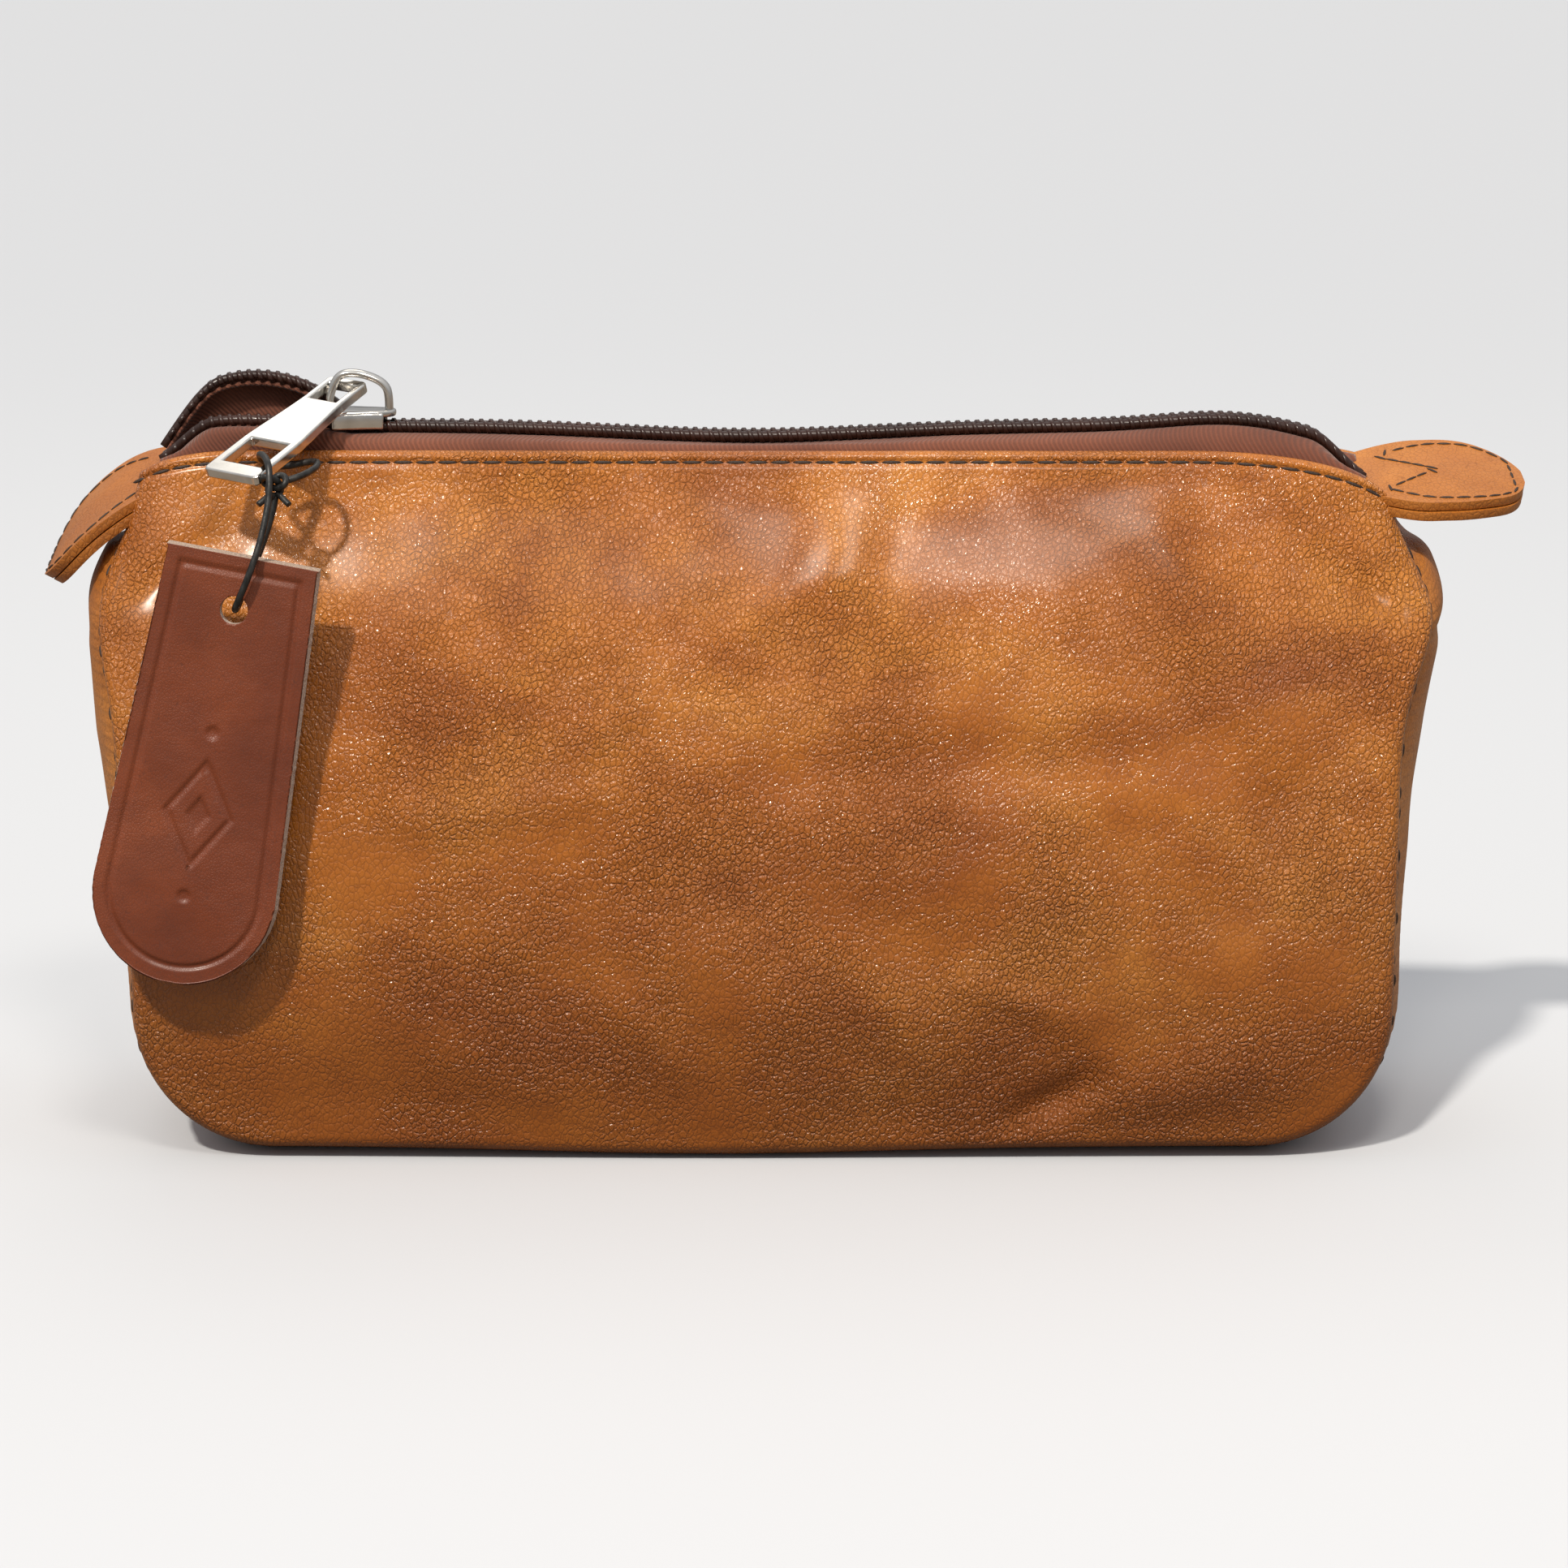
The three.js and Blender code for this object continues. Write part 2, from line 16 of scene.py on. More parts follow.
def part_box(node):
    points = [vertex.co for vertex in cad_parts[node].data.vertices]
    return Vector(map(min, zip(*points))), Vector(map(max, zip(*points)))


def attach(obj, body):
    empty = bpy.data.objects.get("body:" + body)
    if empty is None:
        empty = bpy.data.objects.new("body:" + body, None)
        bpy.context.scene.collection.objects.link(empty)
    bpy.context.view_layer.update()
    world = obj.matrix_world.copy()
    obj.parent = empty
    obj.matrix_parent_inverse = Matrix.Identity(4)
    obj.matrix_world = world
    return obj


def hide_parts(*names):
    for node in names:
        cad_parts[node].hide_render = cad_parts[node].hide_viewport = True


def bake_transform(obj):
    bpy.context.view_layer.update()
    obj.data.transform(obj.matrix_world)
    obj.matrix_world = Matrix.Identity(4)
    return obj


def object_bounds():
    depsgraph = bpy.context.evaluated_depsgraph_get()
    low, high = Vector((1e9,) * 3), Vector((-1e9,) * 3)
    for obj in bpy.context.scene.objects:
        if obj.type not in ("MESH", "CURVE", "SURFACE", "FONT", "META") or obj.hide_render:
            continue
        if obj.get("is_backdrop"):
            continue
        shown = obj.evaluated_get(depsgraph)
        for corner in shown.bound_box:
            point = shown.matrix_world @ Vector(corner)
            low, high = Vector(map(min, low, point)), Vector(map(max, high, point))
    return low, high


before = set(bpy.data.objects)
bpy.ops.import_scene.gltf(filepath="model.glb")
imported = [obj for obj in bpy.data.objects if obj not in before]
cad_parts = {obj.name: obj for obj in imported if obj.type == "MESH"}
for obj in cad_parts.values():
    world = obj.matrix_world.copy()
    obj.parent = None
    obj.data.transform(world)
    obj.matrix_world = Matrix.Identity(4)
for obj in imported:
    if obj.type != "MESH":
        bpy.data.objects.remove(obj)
cad_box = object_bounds()
MM = 0.001

# %% [markdown]
# ## The camera
# A small object is best seen through a long lens from a little above: its verticals stay upright
# and the zipper's top still shows. The camera is placed by its distance, its height above the
# horizon and the width that it has to take in, so it can be moved without guessing.

# %% Place the camera
elevation = math.radians(13)
view_width = 230 * MM
lens = 85
sensor = 36
aim = Vector((3.1, -20, 56.3)) * MM
distance = view_width * lens / sensor
camera_data = bpy.data.cameras.new("camera")
camera_data.lens = lens
camera_data.sensor_width = sensor
camera_data.clip_end = 100
camera = bpy.data.objects.new("camera", camera_data)
camera.location = aim + distance * Vector((0, -math.cos(elevation), math.sin(elevation)))
camera.rotation_euler = (math.pi / 2 - elevation, 0, 0)
bpy.context.scene.collection.objects.link(camera)
bpy.context.scene.camera = camera
bpy.context.scene.view_settings.view_transform = "Standard"
print("camera distance", round(distance, 3), "m")

# %% [markdown]
# ## Helpers that every piece uses
# A finished piece is one mesh object at the origin, with its place in its mesh. `piece` makes one
# from a bmesh and shades it smooth, and `swept` turns a route into a round tube through a curve,
# which is the quickest way to make thread, cord and wire. Small helpers give a
# sheet its thickness and round the edges of a piece.

# %% Make a piece from a bmesh
def piece(name, mesh_data, material=None, body="root"):
    bmesh.ops.recalc_face_normals(mesh_data, faces=mesh_data.faces)
    mesh = bpy.data.meshes.new(name)
    for face in mesh_data.faces:
        face.smooth = True
    mesh_data.to_mesh(mesh)
    mesh_data.free()
    made = bpy.data.objects.new(name, mesh)
    bpy.context.scene.collection.objects.link(made)
    if material:
        mesh.materials.append(material)
    if body:
        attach(made, body)
    return made


def thicken(made, thickness, offset):
    """Gives a sheet its thickness: offset -1 grows it inwards, 0 both ways, 1 outwards."""
    ply = made.modifiers.new("ply", "SOLIDIFY")
    ply.thickness = thickness
    ply.offset = offset


def round_edges(made, width, segments, sharpest):
    """Rounds each edge that turns by more than an angle in degrees."""
    rim = made.modifiers.new("rim", "BEVEL")
    rim.width = width
    rim.segments = segments
    rim.angle_limit = math.radians(sharpest)


def new_verts(result):
    """The vertices that an extrusion has made."""
    return [item for item in result["geom"] if isinstance(item, bmesh.types.BMVert)]


# %% Sweep a round tube along a route
def swept(name, points, radius, closed=False, resolution=3):
    data = bpy.data.curves.new(name + "_route", "CURVE")
    data.dimensions = "3D"
    data.bevel_depth = radius
    data.bevel_resolution = resolution
    data.use_fill_caps = True
    line = data.splines.new("POLY")
    line.points.add(len(points) - 1)
    for point, place in zip(line.points, points):
        point.co = (*place, 1)
    line.use_cyclic_u = closed
    curve = bpy.data.objects.new(name + "_route", data)
    bpy.context.scene.collection.objects.link(curve)
    solid = bmesh.new()
    solid.from_mesh(curve.to_mesh())
    bpy.data.objects.remove(curve)
    bmesh.ops.remove_doubles(solid, verts=solid.verts, dist=1e-6)
    return solid


# %% Smooth steps and smooth curves through values
def clamp(value, low=0.0, high=1.0):
    return min(max(value, low), high)


def mix(low, high, share):
    return low + (high - low) * share


def smooth(value, low, high):
    share = clamp((value - low) / (high - low))
    return share * share * (3 - 2 * share)


def hump(value, middle, width):
    return math.exp(-(((value - middle) / width) ** 2))


def through(values, share):
    """Reads a smooth curve through equally spaced values at a share from 0 to 1."""
    place = clamp(share) * (len(values) - 1)
    first = min(int(place), len(values) - 2)
    step = place - first
    before, low, high, after = (values[clamp(first + i, 0, len(values) - 1)] for i in (-1, 0, 1, 2))
    start, end = (high - before) / 2, (after - low) / 2
    cubic = 2 * low - 2 * high + start + end
    square = 3 * high - 3 * low - 2 * start - end
    return ((cubic * step + square) * step + start) * step + low


def smooth_route(points, steps):
    """A dense route through listed points."""
    axes = [[point[axis] for point in points] for axis in range(3)]
    return [Vector([through(axis, i / steps) for axis in axes]) for i in range(steps + 1)]


print("halfway through 0, 2, 1:", through([0, 2, 1], 0.5))

# %% [markdown]
# ## The cord first
# The hang tag hangs on a waxed cotton cord, 1 mm thick. It leaves its knot, loops round the
# pull's side bar, comes out through the pull's window, runs down in front of the tag, through its
# hole and back up behind it into the knot. Its route is a list of points, given one by one,
# because a cord's bends are what make it look real.

# %% Set the cord's route and length
cord_route = [
    (-68.1, -22.4, 101.5),
    (-66.0, -21.2, 102.1),
    (-64.5, -18.7, 102.8),
    (-64.6, -15.8, 103.2),
    (-66.3, -14.4, 103.0),
    (-68.9, -14.6, 102.5),
    (-71.0, -15.5, 102.7),
    (-72.3, -16.8, 103.6),
    (-72.5, -18.4, 104.6),
    (-71.9, -20.2, 104.9),
    (-71.1, -22.1, 104.6),
    (-70.5, -23.8, 103.6),
    (-70.3, -25.0, 101.7),
    (-70.4, -25.9, 99.2),
    (-70.8, -27.0, 96.4),
    (-71.5, -28.1, 93.4),
    (-72.4, -29.0, 90.6),
    (-73.5, -29.4, 87.8),
    (-74.5, -29.3, 85.6),
    (-75.2, -28.6, 84.1),
    (-75.4, -27.3, 83.6),
    (-75.2, -25.9, 84.0),
    (-74.6, -25.0, 85.6),
    (-73.4, -24.5, 88.4),
    (-72.1, -24.0, 91.5),
    (-70.9, -23.5, 94.8),
    (-70.1, -23.0, 97.6),
    (-69.8, -22.7, 99.2),
]
cord_path = smooth_route([Vector(point) * MM for point in cord_route], 216)

# %% [markdown]
# ## Finishes
# Each finish is a small node tree. The patterns read Object coordinates, which are metres here,
# so a scale of 800 makes cells about 1.2 mm across. Colours are mixed from a few tones of the real
# material, and the same patterns drive the bump and the roughness, so that grain, colour and gloss
# agree with each other.

# %% A node tree with named steps
class Finish:
    def __init__(self, name, roughness, metallic=0.0):
        self.material = bpy.data.materials.new(name)
        self.material.use_nodes = True
        self.tree = self.material.node_tree
        self.shader = self.tree.nodes["Principled BSDF"]
        self.shader.inputs["Roughness"].default_value = roughness
        self.shader.inputs["Metallic"].default_value = metallic
        self.place = self.add("ShaderNodeTexCoord").outputs["Object"]

    def add(self, kind, inputs=(), **settings):
        node = self.tree.nodes.new(kind)
        for setting, value in settings.items():
            setattr(node, setting, value)
        for socket, value in dict(inputs).items():
            if isinstance(value, bpy.types.NodeSocket):
                self.tree.links.new(value, node.inputs[socket])
            else:
                node.inputs[socket].default_value = value
        return node

    def shifted(self, turn=(0, 0, 0), stretch=(1, 1, 1)):
        inputs = {"Vector": self.place, "Rotation": turn, "Scale": stretch}
        return self.add("ShaderNodeMapping", inputs).outputs["Vector"]

    def clouds(self, scale, detail=3, distortion=0.0, place=None):
        inputs = {"Vector": place or self.place, "Scale": scale, "Detail": detail}
        return self.add("ShaderNodeTexNoise", {**inputs, "Distortion": distortion}).outputs["Fac"]

    def ramp(self, value, *stops):
        node = self.add("ShaderNodeValToRGB", {"Fac": value})
        marks = node.color_ramp.elements
        while len(marks) < len(stops):
            marks.new(0.5)
        for mark, (position, colour) in zip(marks, stops):
            mark.position = position
            mark.color = (*colour, 1) if len(colour) == 3 else colour
        return node.outputs["Color"]

    def levels(self, value, low, high, to_low, to_high):
        inputs = {"Value": value, "From Min": low, "From Max": high, "To Min": to_low, "To Max": to_high}
        return self.add("ShaderNodeMapRange", inputs).outputs["Result"]

    def maths(self, operation, first, second):
        return self.add("ShaderNodeMath", {0: first, 1: second}, operation=operation).outputs[0]

    def blend_colours(self, share, first, second):
        return self.add("ShaderNodeMix", {0: share, 6: first, 7: second}, data_type="RGBA").outputs[2]

    def cells(self, place, size):
        inputs = {"Vector": place, "Scale": 1 / size, "Randomness": 1.0}
        node = self.add("ShaderNodeTexVoronoi", inputs, feature="DISTANCE_TO_EDGE")
        return node.outputs["Distance"]

    def bump(self, height, depth, strength=1.0, under=None):
        inputs = {"Height": height, "Distance": depth, "Strength": strength}
        if under:
            inputs["Normal"] = under
        return self.add("ShaderNodeBump", inputs).outputs["Normal"]

    def feed(self, socket, value):
        if isinstance(value, bpy.types.NodeSocket):
            self.tree.links.new(value, self.shader.inputs[socket])
        else:
            self.shader.inputs[socket].default_value = value


# %% Grained leather
def leather_finish(name, tones, roughness, grain_size, coat, grain_depth, shade_near_ground=0.0):
    """Glazed leather: clouds of colour, flat pebbles between fine creases, uneven gloss.

    tones run from dark to light, grain_depth is in millimetres, and the last argument is how
    much painted shade darkens the leather near the ground.
    """
    made = Finish(name, roughness)
    warp = made.add("ShaderNodeTexNoise", {"Vector": made.place, "Scale": 0.35 / grain_size, "Detail": 2})
    warped = {0: warp.outputs["Color"], "Scale": 0.9 * grain_size}
    stretched = made.shifted((0, 0.35, 0), (1.2, 1, 0.8))
    small_step = made.add("ShaderNodeVectorMath", warped, operation="SCALE").outputs[0]
    grain_place = made.add("ShaderNodeVectorMath", {0: stretched, 1: small_step}).outputs[0]
    pebbles = made.cells(grain_place, grain_size)
    pores = made.cells(grain_place, grain_size / 2.3)
    raised = made.levels(pebbles, 0.0, 0.22, 0.0, 1.0)
    fine = made.levels(pores, 0.0, 0.3, 0.0, 0.35)
    relief = made.maths("ADD", raised, fine)
    patches = made.clouds(42, 4)
    strength = made.levels(patches, 0.36, 0.62, 0.22, 1.0)
    height = made.maths("MULTIPLY", relief, strength)
    lumps = made.clouds(240, 3)
    normal = made.bump(lumps, 0.35 * MM, 0.5)
    made.feed("Normal", made.bump(height, grain_depth * MM, under=normal))
    broad = made.clouds(24, 6, 0.62, made.shifted((0, 0.5, 0), (1, 1, 1.5)))
    dark, middle, light = tones
    colour = made.ramp(broad, (0.3, dark), (0.5, middle), (0.7, light))
    flecks = made.levels(made.clouds(150, 4), 0.42, 0.62, 0.0, 0.35)
    colour = made.blend_colours(flecks, colour, (*dark, 1))
    # Painted shade: the colour is darkened towards the ground, where the bulge faces down, away from the
    # light.
    height_up = made.add("ShaderNodeSeparateXYZ", {0: made.place}).outputs["Z"]
    ground_shade_mask = made.levels(height_up, 0.0, 0.085, shade_near_ground, 0.0)
    colour = made.blend_colours(ground_shade_mask, colour, (*(0.7 * tone for tone in dark), 1))
    # Painted shade: the colour is darkened in the creases between the pebbles.
    crease_shade = made.levels(pebbles, 0.0, 0.07, 0.5, 0.0)
    colour = made.blend_colours(crease_shade, colour, (*(0.45 * tone for tone in dark), 1))
    made.feed("Base Color", colour)
    gloss = made.levels(made.clouds(45, 4), 0.3, 0.7, roughness - 0.1, roughness + 0.14)
    made.feed("Roughness", made.maths("ADD", gloss, made.levels(pebbles, 0.0, 0.1, 0.12, 0.0)))
    made.feed("Coat Weight", coat)
    made.feed("Coat Roughness", 0.2)
    return made.material


cognac_tones = [(0.3, 0.078, 0.008), (0.47, 0.148, 0.015), (0.62, 0.235, 0.035)]
cognac = leather_finish(
    "cognac_leather",
    cognac_tones,
    roughness=0.26,
    grain_size=0.88 * MM,
    coat=0.22,
    grain_depth=0.24,
    # painted shade near the ground
    shade_near_ground=0.75,
)
print("finish:", cognac.name, "with", len(cognac.node_tree.nodes), "nodes")

# %% [markdown]
# ## The case: the shape of a full, soft pouch
# A full pouch bulges. Each panel is deepest a third of the way up, leans in towards the zipper
# and swells between its side seams. All of that is four smooth curves read by height: how deep
# the panel is at its middle and at its sides, how far its side seams lean out, and how far the
# gusset swells past them. The panels, the linings, the gusset and the stitches all read the same
# curves, so their edges meet.

# %% Sizes and curves of the case
panel_half_width = 93 * MM
hem_height = 104 * MM
corner_radius = 20 * MM
seam_lift = 2.5 * MM
corner_top = seam_lift + corner_radius
leather_ply = 1.1 * MM
seam_roll = 2.2 * MM
fold_radius = 1.25 * MM
seam_pitch = 3.3 * MM
seam_allowance = 2.2 * MM
centre_depths = [25.2, 29.2, 26.6, 20.2, 8]
side_depths = [25, 26, 23.4, 17, 8]
left_flares = [0, 0.6, 2.2, 4.4, -1]
right_flares = [0, 0.2, 1.0, 5.4, 0]
gusset_swells = [3, 4, 5.0, 3.6, 0.6]
panels = {"front": -1, "back": 1}


def depth_at(height, across):
    """From the centre plane to the panel at a height; across is -1 to 1 between the seams."""
    share = height / hem_height
    side = through(side_depths, share)
    return (side + (through(centre_depths, share) - side) * (1 - across * across)) * MM


def seam_reach(height, end):
    """From the centre to the side seam above the corners. The shoulders are pushed out."""
    flares = right_flares if end > 0 else left_flares
    return panel_half_width + through(flares, (height - corner_top) / (hem_height - corner_top)) * MM


def end_drop(x):
    """The top edge curls down in a round towards the ends of the zipper, more at the right."""
    start, depth = (62, 9.5) if x > 0 else (76, 5.5)
    share = clamp((abs(x) / MM - start) / (93.5 - start))
    return depth * MM * (1 - math.sqrt(1 - 0.95 * share**2.2))


def panel_drop(x, height, side):
    """The leather curls down with the zipper. The back keeps a high shoulder at the right."""
    kept = 1 - 0.25 * (side + 1) if x > 0 else 1
    return kept * end_drop(x) * smooth(height, 0.65 * hem_height, hem_height)


def bottom_sag(x, height):
    """The full pouch sags to the ground in the middle of its base."""
    everywhere, more_in_the_middle = 0.8, 1.1
    sag = everywhere + more_in_the_middle * hump(x, -8 * MM, 36 * MM)
    return sag * MM * (1 - smooth(height, 2 * MM, 22 * MM))


def edge_distance(x, height):
    """From a point of a panel to its side or bottom seam."""
    corner_x = panel_half_width - corner_radius
    if height >= corner_top:
        return seam_reach(height, x) - abs(x)
    if abs(x) <= corner_x:
        return height - seam_lift
    return corner_radius - math.hypot(abs(x) - corner_x, corner_top - height)


print("panel depth, low in the middle:", round(depth_at(26 * MM, 0) / MM, 1), "mm")

# %% [markdown]
# Leather in use is never even. Broad soft dents come from smooth noise. The creases that the
# leather has kept are listed one by one: a line from one point to another with a width and a depth,
# fading out towards its ends. A positive depth is a ridge. Near the seams everything fades out,
# because two rows of stitches hold the leather flat there.

# %% Dents, ridges and creases
front_creases = [
    ((-2, 58), (62, 62), 5.0, -1.0),
    ((-52, 53), (-24, 56), 3.0, 0.7),
    ((-20, 42), (52, 31), 7.0, -0.7),
    ((30, 28), (47, 22), 2.4, 0.8),
    ((34, 4), (48, 13), 2.8, -2.2),
    ((50, 10), (74, 16), 6.0, 1.2),
    ((28, 8), (20, 26), 4.0, 0.8),
    ((-22, 26), (-12, 15), 2.6, 0.7),
    ((83, 88), (92, 84), 4.2, -1.8),
    ((58, 92), (76, 62), 6.0, 0.9),
    ((-92, 84), (-78, 92), 3.4, -1.3),
    ((12, 103), (13, 88), 6.0, 0.9),
    ((13, 88), (-2, 80), 3.2, 0.7),
    ((-18, 70), (-30, 60), 3.0, 0.6),
    ((-60, 20), (-30, 12), 6.0, 0.6),
    ((70, 40), (84, 64), 7.0, -0.8),
]
back_creases = [
    ((-60, 60), (10, 66), 6.0, -0.9),
    ((10, 40), (62, 28), 5.0, -0.8),
    ((-44, 12), (-30, 24), 3.0, -1.4),
    ((20, 84), (60, 78), 4.0, 0.8),
    ((-80, 84), (-66, 66), 5.0, 0.8),
    ((-20, 30), (0, 16), 3.5, 0.8),
    ((72, 66), (84, 90), 4.0, -1.2),
]


def crease_depth(x, z, creases):
    total = 0
    for start, end, width, depth in creases:
        from_start = Vector((x / MM - start[0], z / MM - start[1]))
        line = Vector((end[0] - start[0], end[1] - start[1]))
        along = from_start.dot(line) / line.length_squared
        off = (from_start - line * clamp(along)).length
        fade = 1 - 0.45 * abs(2 * clamp(along) - 1) ** 2
        total += depth * fade * math.exp(-((off / width) ** 2))
    return total * MM


def dents(x, z, side):
    """How far the leather stands out from its smooth shape."""
    broad = noise.noise(Vector((x * 21, side * 3.7, z * 26)))
    folds = noise.noise(Vector((x * 48 + z * 22, side * 9.1, z * 60)))
    fine = noise.noise(Vector((x * 130, side * 5.3, z * 150)))
    creases = front_creases if side < 0 else back_creases
    held = smooth(edge_distance(x, z), 0.5 * MM, 9 * MM) * smooth(hem_height - z, 1 * MM, 10 * MM)
    return held * (1.3 * broad + 0.45 * folds + 0.14 * fine) * MM + held * crease_depth(x, z, creases)


print("front dent at the lower fold:", round(dents(41 * MM, 8 * MM, -1) / MM, 2), "mm")

# %% [markdown]
# ## The panels
# A panel could be cut from a thick block, but leather is a sheet, so it starts as a flat grid.
# Every vertex is moved to its place on the bulging shape. Along the side and bottom seams the
# sheet rolls inwards, because the seam is sewn inside out and turned. Along the top it folds over
# the zipper tape. The rows crowd towards the fold and the base, where the shape turns quickly.
# Solidify then gives the sheet its thickness.

# %% A point of a panel
hem_share = 0.9885  # where the fold begins, in rows from 0 to 1
hem_stitch_share = 0.9815
hem_stitch_below = 1.9 * MM
hem_stitch_dip = 0.42 * MM
corner_share = 0.22


def panel_row(row):
    turn = min(row / corner_share, 1) * math.pi / 2
    climb = max(row - corner_share, 0) / (1 - corner_share)
    if row < corner_share:
        height = seam_lift + corner_radius * (1 - math.cos(turn))
        reach = panel_half_width - corner_radius * (1 - math.sin(turn))
        return height, reach, reach
    height = mix(corner_top, hem_height, climb)
    return height, seam_reach(height, -1), seam_reach(height, 1)


def panel_point(side, across, row, inset=0.0):
    height, left, right = panel_row(row)
    x = across * (right if across > 0 else left)
    inwards = seam_roll - min(edge_distance(x, height), seam_roll)
    roll = seam_roll - math.sqrt(max(seam_roll**2 - inwards**2, 0))
    stitch_dip = hem_stitch_dip * hump(hem_height - height, hem_stitch_below, 0.45 * MM)
    depth = depth_at(height, across) + dents(x, height, side) - roll - stitch_dip - inset
    lowered = panel_drop(x, height, side) + bottom_sag(x, height)
    return Vector((x, side * depth, height - lowered))


def hem_frame(side, across):
    """The last point below the fold, the way up the leather and the way inwards."""
    edge = panel_point(side, across, hem_share)
    up = (edge - panel_point(side, across, hem_share - 0.02)).normalized()
    along = panel_point(side, across + 0.01, hem_share) - panel_point(side, across - 0.01, hem_share)
    inward = up.cross(along).normalized()
    return edge, up, inward if inward.y * side < 0 else -inward


def folded_point(side, across, turn):
    """turn 0 to 0.6 rolls over the edge, 0.6 to 1 runs down inside."""
    edge, up, inward = hem_frame(side, across)
    angle = min(turn / 0.6, 1) * math.pi
    down = max(turn - 0.6, 0) / 0.4 * 8 * MM
    roll = inward * (1 - math.cos(angle)) + up * math.sin(angle)
    return edge + roll * fold_radius - up * down


# %% Make the two panels
def leather_panel(name, side):
    sheet = bmesh.new()
    body_rows, fold_rows, columns = 120, 14, 170
    rows = body_rows + fold_rows
    bmesh.ops.create_grid(sheet, x_segments=columns, y_segments=rows, size=0.5)
    for vertex in sheet.verts:
        across = math.sin(vertex.co.x * math.pi)
        row = (vertex.co.y + 0.5) * rows
        if row <= body_rows:
            share = row / body_rows
            share -= 0.6 * math.sin(2 * math.pi * share) / (2 * math.pi)
            vertex.co = panel_point(side, across, share * hem_share)
        else:
            vertex.co = folded_point(side, across, (row - body_rows) / fold_rows)
    turned_in = [edge for edge in sheet.edges if edge.is_boundary and is_seam(edge)]
    flange = bmesh.ops.extrude_edge_only(sheet, edges=turned_in)
    for vertex in new_verts(flange):
        vertex.co += Vector((-0.012 * vertex.co.x, -side * seam_allowance, 0.5 * MM))
    panel = piece(name, sheet, cognac, None)
    thicken(panel, leather_ply, -1 if outward_faces(panel, side) else 1)
    return panel


def is_seam(edge):
    """Whether an edge of the sheet belongs to the turned seam, and not to the folded top."""
    return all(vertex.co.z < 0.88 * hem_height for vertex in edge.verts)


def outward_faces(panel, side):
    """Whether the sheet's normals look out of the case."""
    return sum(face.normal.y * side * face.area for face in panel.data.polygons) > 0


leathers = {}
for name, side in panels.items():
    leathers[name] = leather_panel(name + "_leather", side)
    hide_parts(name + "_panel")
    print(leathers[name].name, len(leathers[name].data.polygons), "faces")

# %% [markdown]
# ## The gusset
# One long strip runs down the left side, along the base and up the right side, and its edges are
# the panels' seam lines. It is a grid too, with its columns across the strip. At the sides it
# swells outwards between its seams, and under the base it lies flat, so the pouch stands on it.
# The stitches pull its edges in at every step, which gives the row of small puckers.

# %% A point of the gusset
seam_inset = 2.6 * MM
pucker_depth = 0.16 * MM
wave_depth = 0.9 * MM
fold_depth = 1.2 * MM
fold_height = 78 * MM
under_tab = 5.5 * MM
half_strip = 230 * MM


def gusset_point(across, along):
    """across -1 to 1 from front to back, along -1 at the left end to 1 at the right end."""
    side_rows, corner_rows = 0.62, 0.2
    base_rows = 1 - side_rows - corner_rows
    run, end = abs(along), math.copysign(1, along)
    climb = max(run - 1 + side_rows, 0) / side_rows
    turn = clamp((run - base_rows) / corner_rows) * math.pi / 2
    out, down = math.sin(turn), -math.cos(turn)
    straight = min(run / base_rows, 1) * (panel_half_width - corner_radius)
    top = hem_height - 0.5 * MM
    height = mix(corner_top, top, climb) if climb > 0 else corner_top + corner_radius * down
    seam_x = seam_reach(height, end) if climb > 0 else straight + corner_radius * out
    x = end * seam_x
    at_side = math.sin(turn) ** 2
    flat = 1 - clamp((abs(across) - 2 / 3) * 3) ** 2
    round_share = 1 - abs(across) ** 2.4
    side_swell = through(gusset_swells, climb) * MM * round_share
    swell = mix(seam_lift * flat, side_swell, at_side)
    stitch_turn = 2 * math.pi * run * half_strip / seam_pitch
    pucker = pucker_depth * math.cos(stitch_turn) * smooth(abs(across), 0.55, 0.95)
    wave = wave_depth * noise.noise(Vector((across * 1.3, along * 9, end * 4))) * round_share
    fold = -fold_depth * hump(height, fold_height, 2.4 * MM) * round_share * (0.5 - 0.5 * end * across)
    swell += (pucker + wave + fold) * at_side
    half = through(side_depths, height / hem_height) * MM - seam_inset * (1 + 0.12 * climb)
    sag = bottom_sag(x, height) * abs(across) ** 3 * (1 - at_side)
    ducked = under_tab * (1 - across**4) * smooth(height, 0.86 * hem_height, 0.97 * hem_height)
    lowered = panel_drop(x, height, across) * (1 - 0.45 * (1 - across * across)) + sag + ducked
    z = max(height + swell * down - lowered, 0.1 * MM)
    return Vector((end * (seam_x + swell * out), across * half, z))


# %% Make the gusset
def gusset():
    strip = bmesh.new()
    columns, rows = 46, 420
    bmesh.ops.create_grid(strip, x_segments=columns, y_segments=rows, size=1)
    for vertex in strip.verts:
        across = math.sin(vertex.co.x * math.pi / 2)
        vertex.co = gusset_point(across, vertex.co.y)
    edges = [edge for edge in strip.edges if edge.is_boundary]
    flange = bmesh.ops.extrude_edge_only(strip, edges=edges)
    for vertex in new_verts(flange):
        inwards = Vector((-vertex.co.x, 0, hem_height / 2 - vertex.co.z)).normalized()
        vertex.co += inwards * seam_allowance
    made = piece("gusset_leather", strip, side_cognac)
    thicken(made, leather_ply, -1)
    lowest = min(made.data.polygons, key=lambda face: face.center.z)
    if lowest.normal.z > 0:
        made.data.flip_normals()
    return made


side_tones = [(0.34, 0.1, 0.012), (0.45, 0.15, 0.02), (0.54, 0.2, 0.034)]
side_cognac = leather_finish(
    "side_leather", side_tones, roughness=0.42, grain_size=0.9 * MM, coat=0.1, grain_depth=0.06
)
gusset_leather = gusset()
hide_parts("gusset_strip")
print(gusset_leather.name, len(gusset_leather.data.polygons), "faces")

